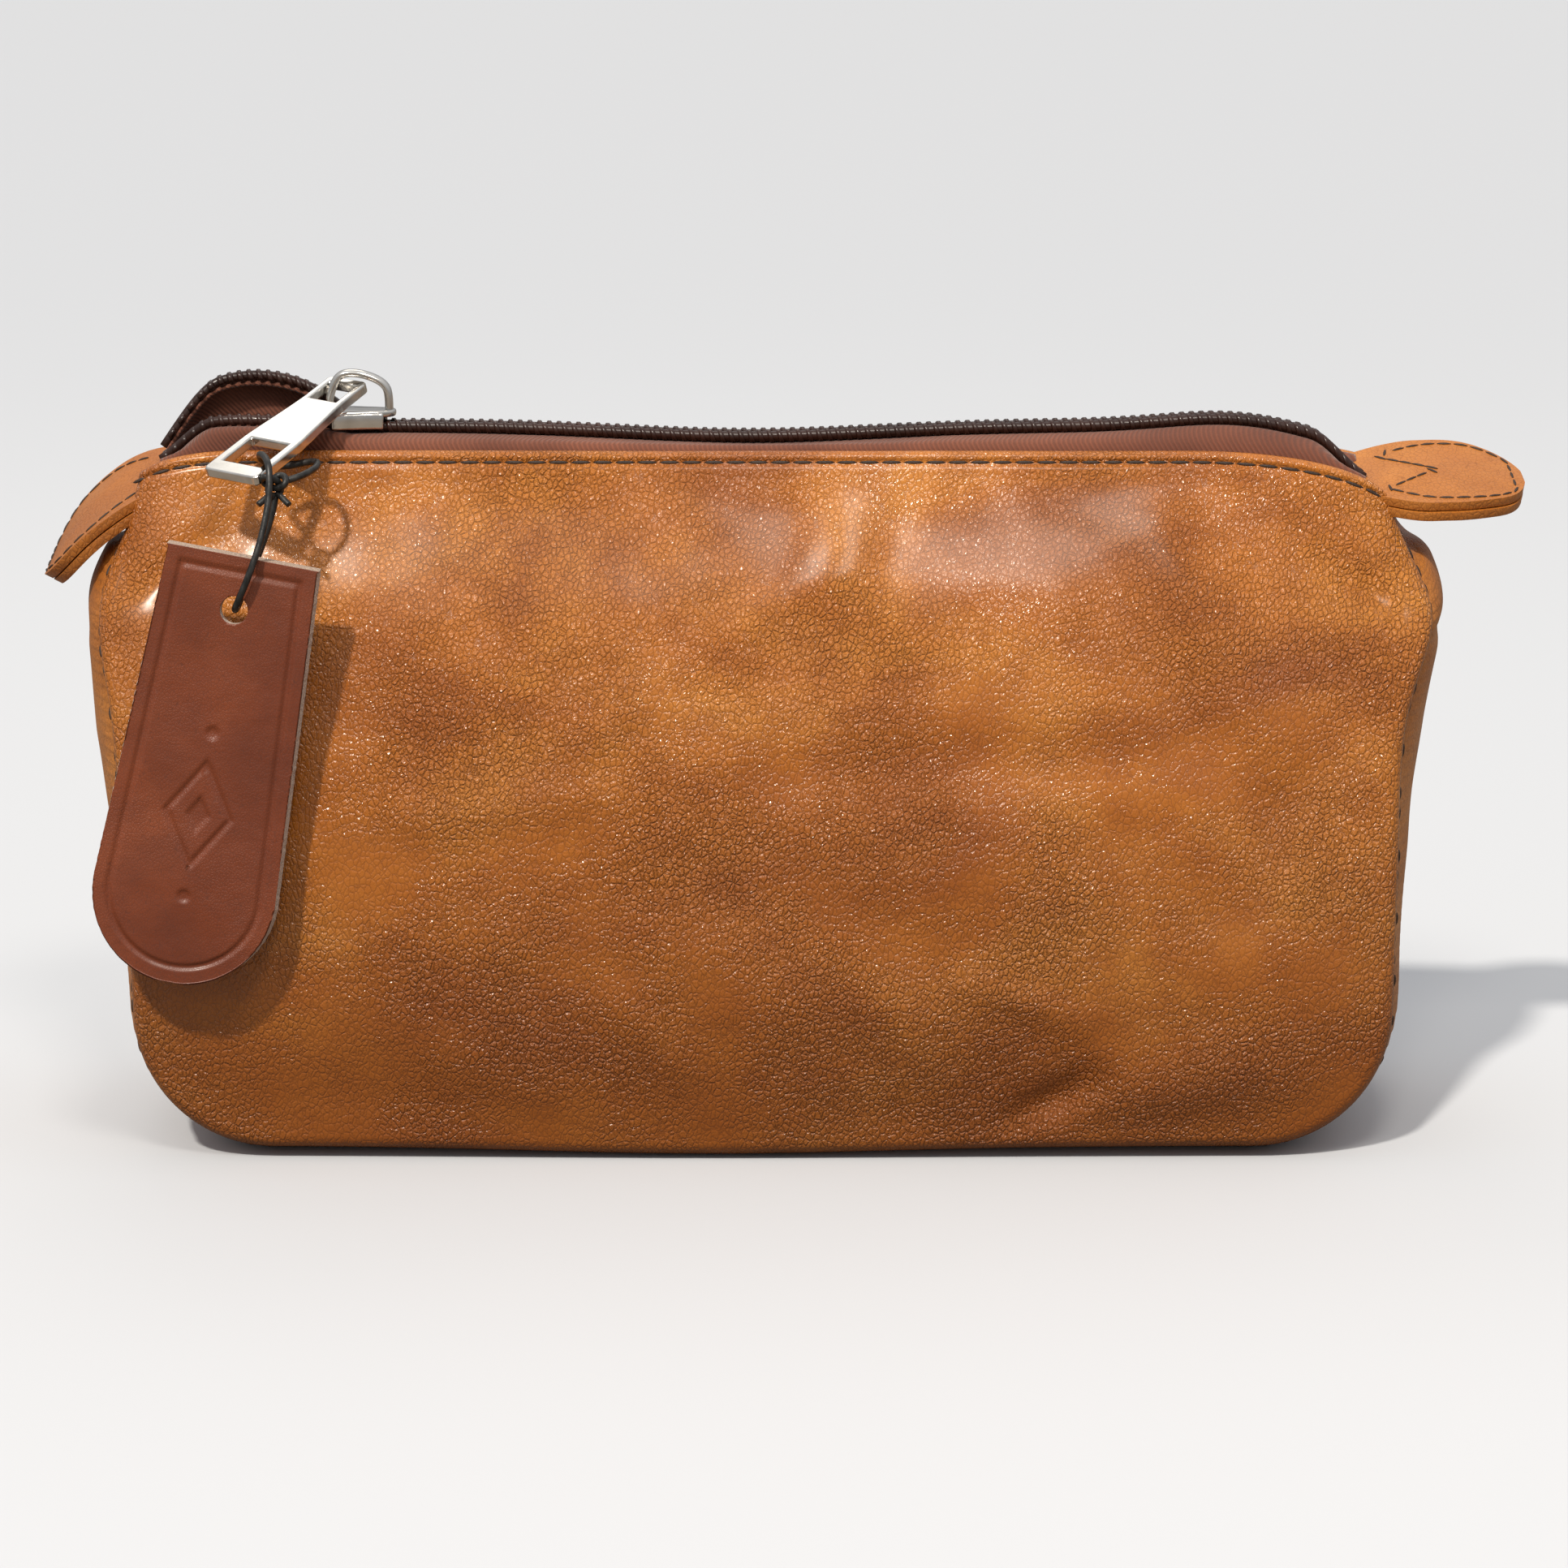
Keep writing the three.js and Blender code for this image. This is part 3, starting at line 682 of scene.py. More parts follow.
# %% [markdown]
# ## Stitches
# Every stitch is one small capsule with its ends sunk in the leather. A row of them along a seam
# is what makes leatherwork look sewn, where one long tube never does. A row is joined into one
# piece, and each stitch has only a few dozen faces, because there are hundreds.

# %% A row of stitches
def stitch_row(name, places, outwards, length, radius, material, body="root", tilt=0.0):
    """places are the stitches' middles along the seam, outwards the way up from the leather."""
    row = bmesh.new()
    for i, (middle, up) in enumerate(zip(places, outwards)):
        low, high = places[max(i - 1, 0)], places[min(i + 1, len(places) - 1)]
        along = (high - low).normalized()
        across = up.cross(along).normalized()
        lift = along.cross(across)
        axes = Matrix((along, across, lift)).transposed().to_4x4()
        stretch = Matrix.Diagonal((length / 2, radius, 0.8 * radius, 1))
        place = Matrix.Translation(middle) @ axes @ Matrix.Rotation(tilt, 4, "Z") @ stretch
        bmesh.ops.create_uvsphere(row, u_segments=8, v_segments=5, radius=1, matrix=place)
    return piece(name, row, material, body)


def spaced(points, pitch):
    """Places at an even pitch along a dense route."""
    lengths = [0]
    for a, b in zip(points, points[1:]):
        lengths.append(lengths[-1] + (b - a).length)
    count = int(lengths[-1] / pitch)
    found, index = [], 0
    for step in range(count + 1):
        target = (step + 0.5) * lengths[-1] / (count + 1)
        while lengths[index + 1] < target:
            index += 1
        share = (target - lengths[index]) / (lengths[index + 1] - lengths[index])
        found.append(points[index].lerp(points[index + 1], share))
    return found


# %% Waxed thread
def thread_finish(name, colour, sheen_colour):
    made = Finish(name, 0.62)
    fibres = made.clouds(3500, 2, 0, made.shifted((0.6, 0, 0.6), (1, 5, 1)))
    made.feed("Base Color", made.ramp(fibres, (0.35, colour), (0.65, sheen_colour)))
    made.feed("Normal", made.bump(fibres, 0.08 * MM, 0.8))
    return made.material


brown_thread = thread_finish("sewing_thread", (0.018, 0.009, 0.006), (0.05, 0.027, 0.018))
hem_stitches = {}
for name, side in panels.items():
    across = [math.sin((i / 200 - 0.5) * math.pi * 0.985) for i in range(201)]
    places = spaced([panel_point(side, place, hem_stitch_share) for place in across], seam_pitch)
    ups = [Vector((0, side, 0.42)).normalized()] * len(places)
    raised = [place + up * 0.02 * MM for place, up in zip(places, ups)]
    made = stitch_row(name + "_hem_stitches", raised, ups, 3.1 * MM, 0.3 * MM, brown_thread, None)
    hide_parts(name + "_hem_thread")
    hem_stitches[name] = made
    print(made.name, len(places), "stitches")

# %% Stitches that show in the turned side seams
for name, side in panels.items():
    seam = [gusset_point(side * 0.997, -0.97 + 1.94 * i / 800) for i in range(801)]
    places = [place + Vector((0, side * 0.3 * MM, 0)) for place in spaced(seam, seam_pitch)]
    ups = [Vector((place.x, 0, (place.z - 40 * MM) * 0.6)).normalized() for place in places]
    raised = [place - up * 0.1 * MM for place, up in zip(places, ups)]
    made = stitch_row(name + "_seam_stitches", raised, ups, 2.3 * MM, 0.34 * MM, brown_thread, tilt=0.35)
    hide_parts(name + "_seam_thread")
    print(made.name, len(places), "stitches")

# %% [markdown]
# ## The zipper tapes
# Each tape is a strip of twill from the coil to under the folded edge. Across, it has three short
# runs: level beside the coil, a bend, and down inside the fold. Along, it follows the curls of
# the zipper's ends. At the left the back row stands higher than the front one, because the open
# end has been pushed up.

# %% How the zipper runs
zip_half = 89.5 * MM
coil_radius = 1.1 * MM
closed_row = 1.0 * MM
parted_row = 2.3 * MM
coil_middle = 106.55 * MM
tape_level = 105.3 * MM
slider_low, slider_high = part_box("slider_body")
slider_x = (slider_low.x + slider_high.x) / 2


def row_centre(x):
    """Distance of a coil row from the middle: parted in the slider, bowed out at the open end."""
    mouth = slider_low.x
    if x > mouth:
        return mix(parted_row, closed_row, smooth(x - slider_x, -4 * MM, 2.5 * MM))
    share = clamp((mouth - x) / (mouth + zip_half))
    bow = 1.5 * MM * math.sin(math.pi * share**0.8)
    return mix(parted_row, closed_row, smooth(share, 0, 1)) + bow


def chain_rise(x, side):
    """How far the chain runs off level: a slack middle, and a pushed-up back row at the left."""
    slack = 1.2 * MM * hump(x, 70 * MM, 14 * MM) - 1.5 * MM * hump(x, -2 * MM, 27 * MM)
    arc = math.sqrt(max(1 - ((x / MM + 76) / 14.8) ** 2, 0)) ** 1.5
    pushed = (7.0 if side > 0 else 1.2) * MM * arc
    curl = 3.5 * MM * smooth(abs(x), 81 * MM, 90 * MM)
    return slack + pushed - curl - end_drop(x)


# %% Make the tapes
def tape_point(side, across, x):
    """across 0 at the coil, 1 down inside the fold."""
    rise = chain_rise(x, side)
    hem_row = panel_point(side, clamp(x / seam_reach(hem_height, x), -1, 1), hem_share)
    under = hem_row - Vector((0, side * 2.95 * MM, 0))
    coil_edge = Vector((x, side * (row_centre(x) - 0.6 * MM), tape_level + rise))
    level = Vector((x, side * (row_centre(x) + 2.0 * MM), tape_level + rise))
    fold = under + Vector((0, 0, 0.4 * MM))
    tucked = under - Vector((0, side * 0.3 * MM, 8 * MM))
    corners = [coil_edge, level, fold, tucked]
    place = Vector([through([corner[axis] for corner in corners], across) for axis in range(3)])
    place.x = x
    place.z += 0.25 * MM * noise.noise(Vector((x * 90, side, across * 2))) * across
    return place


def zipper_tape(name, side):
    strip = bmesh.new()
    bmesh.ops.create_grid(strip, x_segments=260, y_segments=14, size=1)
    for vertex in strip.verts:
        vertex.co = tape_point(side, (vertex.co.y + 1) / 2, vertex.co.x * (zip_half - 0.4 * MM))
    made = piece(name, strip, tape_twill, None)
    thicken(made, 0.45 * MM, 0)
    return made


def twill_finish():
    """Diagonal twill lines, a fuzzy reddish brown."""
    made = Finish("zipper_tape", 0.85)
    slant = made.shifted((0, 0.7, 0.5))
    waves = {"Vector": slant, "Scale": 640, "Distortion": 0.5, "Detail": 1, "Detail Scale": 2}
    ribs = made.add("ShaderNodeTexWave", waves, bands_direction="X").outputs["Fac"]
    fuzz = made.clouds(1800, 3)
    tone = made.ramp(made.clouds(60, 3), (0.35, (0.15, 0.042, 0.02)), (0.65, (0.23, 0.07, 0.034)))
    # Painted shade: the colour is darkened between the twill ribs, where the bump is lowest.
    between = made.levels(ribs, 0, 1, 0.45, 0)
    made.feed("Base Color", made.blend_colours(between, tone, (0.07, 0.024, 0.014, 1)))
    height = made.maths("ADD", ribs, made.maths("MULTIPLY", fuzz, 0.4))
    made.feed("Normal", made.bump(height, 0.14 * MM, 0.8))
    made.feed("Sheen Weight", 0.25)
    made.feed("Sheen Roughness", 0.5)
    return made.material


tape_twill = twill_finish()
tapes = {}
for name, side in panels.items():
    tapes[name] = zipper_tape(name + "_tape", side)
    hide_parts("zipper_tape_" + name)
    print(tapes[name].name, "from", -zip_half / MM, "to", zip_half / MM, "mm")

# %% [markdown]
# ## The coils
# A coil zipper has no teeth: each row is one nylon wire wound into a flat spring and sewn to its
# tape. Closed, the loops of one row lie between the loops of the other. `bmesh.ops.spin` with an
# offset turns a small circle into exactly such a spring. The straight spring is then laid along
# the row, and the back row is shifted by half a pitch so that its loops fall in the gaps.

# %% Wind one row round its core
def add_to(solid, extra):
    """Adds one bmesh to another."""
    carrier = bpy.data.meshes.new("carrier")
    extra.to_mesh(carrier)
    extra.free()
    solid.from_mesh(carrier)
    bpy.data.meshes.remove(carrier)


coil_pitch = 1.45 * MM
wire_radius = 0.46 * MM
core_radius = 0.78 * MM
loop_height, loop_reach = 0.95, 1.32  # the loops are a little flat and wide


def coil_row(name, side):
    turns = int(2 * zip_half / coil_pitch)
    steps = 12
    spring = bmesh.new()
    first_loop = coil_pitch * (0.25 if side < 0 else 0.75)
    start = Matrix.Translation((-zip_half + first_loop, 0, coil_radius - wire_radius))
    upright = Matrix.Rotation(math.pi / 2, 4, "X") @ Matrix.Rotation(math.pi / 2, 4, "Z")
    bmesh.ops.create_circle(spring, segments=6, radius=wire_radius, matrix=start @ upright)
    bmesh.ops.spin(
        spring,
        geom=spring.verts[:] + spring.edges[:],
        cent=(0, 0, 0),
        axis=(1, 0, 0),
        dvec=(coil_pitch / steps, 0, 0),
        angle=2 * math.pi * turns,
        steps=turns * steps,
    )
    bmesh.ops.holes_fill(spring, edges=[edge for edge in spring.edges if edge.is_boundary], sides=6)
    for vertex in spring.verts:
        x = clamp(vertex.co.x, -zip_half, zip_half)
        y = side * row_centre(x) + vertex.co.y * loop_reach
        vertex.co = Vector((x, y, coil_middle + vertex.co.z * loop_height + chain_rise(x, side)))
    core = []
    for i in range(241):
        x = -zip_half + 2 * zip_half * i / 240
        core.append(Vector((x, side * (row_centre(x) + 0.25 * MM), coil_middle + chain_rise(x, side))))
    add_to(spring, swept("core", core, core_radius, resolution=1))
    return piece(name, spring, coil_nylon, None)


def nylon_finish():
    made = Finish("coil_nylon", 0.3)
    tone = made.ramp(made.clouds(90, 3), (0.3, (0.018, 0.006, 0.004)), (0.7, (0.042, 0.014, 0.009)))
    made.feed("Base Color", tone)
    made.feed("Roughness", made.levels(made.clouds(700, 2), 0.3, 0.7, 0.22, 0.42))
    made.feed("Normal", made.bump(made.clouds(1500, 2), 0.04 * MM, 0.5))
    return made.material


coil_nylon = nylon_finish()
coils = {}
for name, side in panels.items():
    coils[name] = coil_row(name + "_coil", side)
    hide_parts("zipper_coil_" + name)
    print(coils[name].name, len(coils[name].data.polygons), "faces")

# %% [markdown]
# ## The lining
# A plain woven cotton lines the panels and the gusset. It shows through the open end of the
# zipper, and all along it when the zipper is run back. It follows the leather at a small distance,
# so each lining is made by the same function as the leather, moved inwards.

# %% Make the linings
cloth_ply = 0.5 * MM
behind_panel, behind_gusset = 3.6 * MM, 2.6 * MM


def woven_finish():
    made = Finish("lining_cloth", 0.9)
    across = {"Vector": made.shifted((0, 0.785, 0)), "Scale": 520, "Distortion": 0.3}
    warp = made.add("ShaderNodeTexWave", across, bands_direction="X").outputs["Fac"]
    weft = made.add("ShaderNodeTexWave", across, bands_direction="Z").outputs["Fac"]
    weave = made.maths("MULTIPLY", warp, weft)
    tone = made.ramp(made.clouds(30, 3), (0.35, (0.2, 0.125, 0.07)), (0.65, (0.3, 0.2, 0.12)))
    # Painted shade: the colour is darkened in the gaps of the weave, where the bump is lowest.
    gaps = made.levels(weave, 0, 0.7, 0.4, 0)
    made.feed("Base Color", made.blend_colours(gaps, tone, (0.1, 0.06, 0.035, 1)))
    made.feed("Normal", made.bump(weave, 0.12 * MM, 0.7))
    made.feed("Sheen Weight", 0.2)
    return made.material


def cloth_piece(name, columns, rows, point, body=None):
    cloth = bmesh.new()
    bmesh.ops.create_grid(cloth, x_segments=columns, y_segments=rows, size=1)
    for vertex in cloth.verts:
        vertex.co = point(vertex.co.x, vertex.co.y)
    made = piece(name, cloth, cotton, body)
    thicken(made, cloth_ply, 0)
    return made


def lining_point(side, across, up):
    turned = 0.965 * math.sin(across * math.pi / 2)
    return panel_point(side, turned, mix(0.05, 0.955, (up + 1) / 2), behind_panel)


def gusset_lining_point(across, along):
    place = gusset_point(0.72 * across, 0.94 * along)
    inwards = Vector((-place.x, 0, hem_height * 0.6 - place.z)).normalized()
    return place + inwards * behind_gusset


cotton = woven_finish()
linings = {}
for name, side in panels.items():
    linings[name] = cloth_piece(name + "_lining", 90, 60, lambda u, v, side=side: lining_point(side, u, v))
    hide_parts("lining_" + name)
strip_lining = cloth_piece("gusset_lining", 16, 200, gusset_lining_point, "root")
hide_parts("lining_gusset")
print("linings:", ", ".join(sorted(cloth.name for cloth in linings.values())))

# %% [markdown]
# ## The end tabs
# Each end of the zipper is finished with a tongue of leather in two layers, sewn all round. The
# left one hangs down, the right one stands out. A tongue is a grid whose width swells and then
# closes in a half circle, laid along an arc: the arc's slope at the root and at the tip says how
# the leather bends.

# %% A point of a tab
tab_length = 22 * MM
tab_half_width = 10.5 * MM
tab_ply = 1.3 * MM
tab_root = Vector((91.5, 0, 99.5)) * MM
tab_bends = {"left": (-1, -22, -62, 0.3), "right": (1, 4, -8, 0.3)}


def tab_half(along):
    swell = mix(0.62, 1, smooth(along, -0.1, 0.42))
    round_from = 1 - tab_half_width / tab_length
    rounded = max(along - round_from, 0) / (1 - round_from)
    return tab_half_width * swell * math.sqrt(max(1 - (0.985 * rounded) ** 2, 0))


def tab_point(name, y, along, lift):
    end, slope_from, slope_to, roll = tab_bends[name]
    start = math.radians(slope_from)
    bend = math.radians(slope_to - slope_from) / tab_length
    slope = start + bend * tab_length * along
    out = (math.sin(slope) - math.sin(start)) / bend - lift * math.sin(slope)
    up = (math.cos(start) - math.cos(slope)) / bend + lift * math.cos(slope)
    ripple = 0.35 * MM * noise.noise(Vector((y * 120, along * 2.2, end)))
    return tab_root + Vector((end * (tab_root.x + out) - tab_root.x, y, up + y * roll + ripple))


# %% Make the tabs
def tab_layer(name, layer, top):
    tongue = bmesh.new()
    bmesh.ops.create_grid(tongue, x_segments=36, y_segments=48, size=1)
    for vertex in tongue.verts:
        along = (vertex.co.y + 1) / 2
        along = mix(along, math.sin(along * math.pi / 2), 0.6)
        across = math.sin(vertex.co.x * math.pi / 2)
        vertex.co = tab_point(name, across * tab_half(along), mix(-0.16, 1, along), top)
    made = piece(name + "_tab_" + layer, tongue, side_cognac, None)
    if sum(face.normal.z * face.area for face in made.data.polygons) < 0:
        made.data.flip_normals()
    thicken(made, tab_ply, -1)
    round_edges(made, 0.32 * MM, 2, 50)
    return made


def tab_seam(name, inset, low, high, lift):
    points = []
    for i in range(161):
        t = i / 160
        along = mix(low, high, math.sin(math.pi * t) ** 0.6)
        y = math.copysign(max(tab_half(along) - inset, 0), 2 * t - 1)
        points.append(tab_point(name, y, along, lift))
    return points


def tab_line(name, start, end, lift):
    points = []
    for i in range(41):
        y = mix(start[0], end[0], i / 40)
        along = mix(start[1], end[1], i / 40)
        points.append(tab_point(name, y, along, lift))
    return points


def tab_stitches(name):
    end, slope_from, slope_to, roll = tab_bends[name]
    seams = [tab_seam(name, 1.5 * MM, 0.05, 0.925, 0.05 * MM)]
    if name == "right":
        tip = (0.5 * MM, 0.42)
        seams += [tab_line(name, (y * MM, 0.02), tip, 0.05 * MM) for y in (-6.2, 5.2)]
    places = [place for seam in seams for place in spaced(seam, 2.5 * MM)]
    slope = math.radians((slope_from + slope_to) / 2)
    ups = [Vector((-end * math.sin(slope), -roll, math.cos(slope))).normalized()] * len(places)
    return stitch_row(name + "_tab_stitches", places, ups, 2.25 * MM, 0.22 * MM, brown_thread, None)


for name in tab_bends:
    layers = {
        "upper": tab_layer(name, "upper", 0),
        "lower": tab_layer(name, "lower", -tab_ply - 0.25 * MM),
        "thread": tab_stitches(name),
    }
    for layer, made in layers.items():
        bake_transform(made)
        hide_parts(f"tab_{name}_{layer}")

# %% [markdown]
# ## The slider
# The slider is a die-cast shell, polished and nickel plated: two plates with rolled side walls,
# joined by a wedge at the front. The plates follow the two rows of coil, wide where the rows part
# and narrow where they close. An arch on top holds the pull. Polished metal shows only what it
# mirrors, so its edges need real bevels to catch the light.

# %% Nickel
def nickel_finish():
    made = Finish("nickel", 0.16, 1.0)
    smears = made.clouds(260, 4, 0.4)
    tone = made.ramp(smears, (0.35, (0.62, 0.6, 0.57)), (0.65, (0.78, 0.76, 0.73)))
    made.feed("Base Color", tone)
    made.feed("Roughness", made.levels(smears, 0.3, 0.7, 0.1, 0.26))
    scratches = made.clouds(900, 3, 0, made.shifted((0.2, 0.5, 0.9), (1, 8, 1)))
    made.feed("Normal", made.bump(scratches, 0.01 * MM, 0.35))
    return made.material


nickel = nickel_finish()


# %% Cast the slider
def raise_faces(solid, faces, height):
    """Turns flat faces into a slab of a height."""
    risen = bmesh.ops.extrude_face_region(solid, geom=faces)
    bmesh.ops.translate(solid, verts=new_verts(risen), vec=(0, 0, height))


def slider_plate(solid, low, high, margin):
    """A rounded plate over the two rows, from one height to another."""
    half_length = (slider_high.x - slider_low.x) / 2 - 0.1 * MM
    ring = bmesh.ops.create_circle(solid, cap_ends=True, segments=40, radius=1)["verts"]
    for vertex in ring:
        x = half_length * math.copysign(abs(vertex.co.x) ** 0.85, vertex.co.x)
        reach = row_centre(slider_x + max(x, -5.4 * MM)) + coil_radius + margin
        y = reach * math.copysign(abs(vertex.co.y) ** 0.7, vertex.co.y)
        vertex.co = Vector((slider_x + x, y, low))
    raise_faces(solid, ring[0].link_faces[:], high - low)


def slider_wall(solid, side, low, high):
    """A side wall that follows one row."""
    wall = bmesh.ops.create_grid(solid, x_segments=9, y_segments=1, size=0.5)["verts"]
    for vertex in wall:
        x = vertex.co.x * 7.6 * MM
        reach = row_centre(slider_x + x) + coil_radius + 0.3 * MM
        y = side * (reach + (vertex.co.y * side + 0.5) * 0.7 * MM)
        vertex.co = Vector((slider_x + x, y, low))
    raise_faces(solid, list({face for vertex in wall for face in vertex.link_faces}), high - low)


def slider():
    casting = bmesh.new()
    top = slider_high.z
    bottom = slider_low.z
    plate = 1.0 * MM
    slider_plate(casting, top - plate, top, 0.95 * MM)
    slider_plate(casting, bottom, bottom + plate, 0.95 * MM)
    for side in panels.values():
        slider_wall(casting, side, top - 2.7 * MM, top - 0.3 * MM)
        slider_wall(casting, side, bottom + 0.4 * MM, bottom + 1.5 * MM)
    wedge_radius = 0.8 * MM
    bmesh.ops.create_cone(
        casting,
        cap_ends=True,
        segments=16,
        radius1=wedge_radius,
        radius2=wedge_radius,
        depth=top - bottom - 0.6 * MM,
        matrix=Matrix.Translation((slider_low.x + 1.8 * MM, 0, (top + bottom) / 2)),
    )
    made = piece("slider_casting", casting, nickel, "slider")
    round_edges(made, 0.4 * MM, 3, 40)
    return made


slider_casting = slider()
crown_route = [(-4.3, -0.3), (-4.35, 1.9), (-3.1, 4.7), (-0.9, 5.35), (2.2, 4.6), (4.1, 3.0), (4.4, -0.3)]
crown_points = [Vector((slider_x + x * MM, 0, slider_high.z + z * MM)) for x, z in crown_route]
crown = piece("slider_arch", swept("arch", smooth_route(crown_points, 48), 0.62 * MM), nickel, "slider")
for vertex in crown.data.vertices:
    vertex.co.y *= 1.7
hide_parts("slider_body")
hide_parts("slider_crown")
print("slider from", round(slider_low.x / MM, 1), "to", round(slider_high.x / MM, 1), "mm")

# %% [markdown]
# ## The pull
# The pull is one flat bar with a small eye for the arch at its top and a window at its end. A grid
# whose lines run along the edges of the eye and the window gives both openings: their faces are
# deleted, the sheet gets its thickness, and every sharp edge is rounded. The bar lies askew on the
# pouch, so it is made flat and then turned into place by its own three directions.

# %% Make the pull
def set_in_place(across, up, out, place):
    """The matrix that takes flat work to its place by its own three directions."""
    return Matrix.Translation(place) @ Matrix((across, up, out)).transposed().to_4x4()


pull_along = Vector((-0.52, -0.76, -0.38)).normalized()
pull_face = Vector((-0.15, -0.36, 0.92))
pull_face = (pull_face - pull_along * pull_face.dot(pull_along)).normalized()
pull_across = pull_face.cross(pull_along)
pull_pivot = Vector((slider_x - 1.9 * MM, 0.7 * MM, slider_high.z + 3.4 * MM))


pull_ply = 1.6 * MM


def zipper_pull():
    bar = bmesh.new()
    lengths = [-0.75, 0.75, 5.8, 9.0, 17.2, 18.4, 25.1, 28.0]
    widths = [-1, -0.7, 0.7, 1]
    eye_middle, window_middle = 3.2 * MM, 21.7 * MM
    bmesh.ops.create_grid(bar, x_segments=len(lengths) - 1, y_segments=len(widths) - 1, size=1)
    for vertex in bar.verts:
        column = round((vertex.co.x + 1) / 2 * (len(lengths) - 1))
        line = round((vertex.co.y + 1) / 2 * (len(widths) - 1))
        half = mix(3.6, 5.0, smooth(lengths[column], 4, 20))
        vertex.co = Vector((lengths[column], widths[line] * half, 0)) * MM
    openings = []
    for face in bar.faces:
        middle = face.calc_center_median()
        in_opening = any(abs(middle.x - place) < 1 * MM for place in (eye_middle, window_middle))
        if in_opening and abs(middle.y) < 1 * MM:
            openings.append(face)
    bmesh.ops.delete(bar, geom=openings, context="FACES")
    corners = [vertex for vertex in bar.verts if len(vertex.link_faces) == 1]
    rounding = {"offset": 0.9 * MM, "segments": 4, "profile": 0.5, "affect": "VERTICES", "material": -1}
    bmesh.ops.bevel(bar, geom=corners, **rounding)
    bmesh.ops.solidify(bar, geom=bar.faces[:], thickness=pull_ply)
    low = min(vertex.co.z for vertex in bar.verts)
    bmesh.ops.translate(bar, verts=bar.verts, vec=(0, 0, -low - pull_ply / 2))
    place = set_in_place(pull_along, pull_across, pull_face, pull_pivot)
    bmesh.ops.transform(bar, matrix=place, verts=bar.verts)
    made = piece("pull_bar", bar, nickel, "pull")
    round_edges(made, 0.3 * MM, 3, 50)
    for face in made.data.polygons:
        face.use_smooth = False
    return made


pull_bar = zipper_pull()
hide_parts("zipper_pull")
print("pull:", len(pull_bar.data.polygons), "faces before its edges are rounded")

# %% [markdown]
# ## The hang tag
# The tag is thick vegetable-tanned leather, dyed and glazed on its face and left raw at its cut
# edges, which are paler and a little fuzzy. A border line and a small lozenge are pressed into
# its face: the press leaves a shallow groove with a soft shoulder, which is moulded into the grid
# of the face. The hole is punched, so it is cut right through.

# %% Directions and outline of the tag
tag_hole_place = Vector((-75.5, -27.4, 83.6)) * MM
tag_up = Vector((0.19, 0.1, 0.978)).normalized()
tag_face = (Vector((0, -1, 0)) + tag_up * tag_up.y).normalized()
tag_across = tag_up.cross(tag_face)
tag_top, tag_bottom = 8 * MM, -55 * MM
tag_top_half, tag_end_half = 11 * MM, 13.5 * MM
tag_ply = 2.2 * MM
hole_radius = 2 * MM
rim_slope = 0.3 * MM  # how far the sharp edge of the face is pared back


def tag_half(up):
    """Half width at a height above the hole: a straight taper, then a half circle."""
    arc_middle = tag_bottom + tag_end_half
    if up >= arc_middle:
        return mix(tag_end_half, tag_top_half, (up - arc_middle) / (tag_top - arc_middle))
    return math.sqrt(max(tag_end_half**2 - (arc_middle - up) ** 2, 0))


def pressed(x, up):
    """Depth of the pressed border and lozenge."""
    arc_middle = tag_bottom + tag_end_half
    if up > arc_middle:
        to_edge = min(tag_half(up) - abs(x), tag_top - up)
    else:
        to_edge = tag_end_half - math.hypot(x, arc_middle - up)
    border = math.exp(-(((to_edge - 2.6 * MM) / (0.42 * MM)) ** 4))
    middle = -30 * MM
    lozenge = abs(x) / 0.62 + abs(up - middle)
    rim = math.exp(-(((lozenge - 7.5 * MM) / (0.75 * MM)) ** 4))
    core = 1 - smooth(lozenge, 2.2 * MM, 3.2 * MM)
    dots = sum(
        1 - smooth(math.hypot(x, up - middle - offset * MM), 0.6 * MM, 1.1 * MM) for offset in (-12, 12)
    )
    return 0.32 * MM * clamp(border + rim + core + dots)


# %% Cut the tag
def is_rim(edge):
    """Whether an edge lies where the face of the tag meets its cut side."""
    first, second = (face.normal for face in edge.link_faces[:2])
    return len(edge.link_faces) == 2 and abs(first.dot(second)) < 0.5


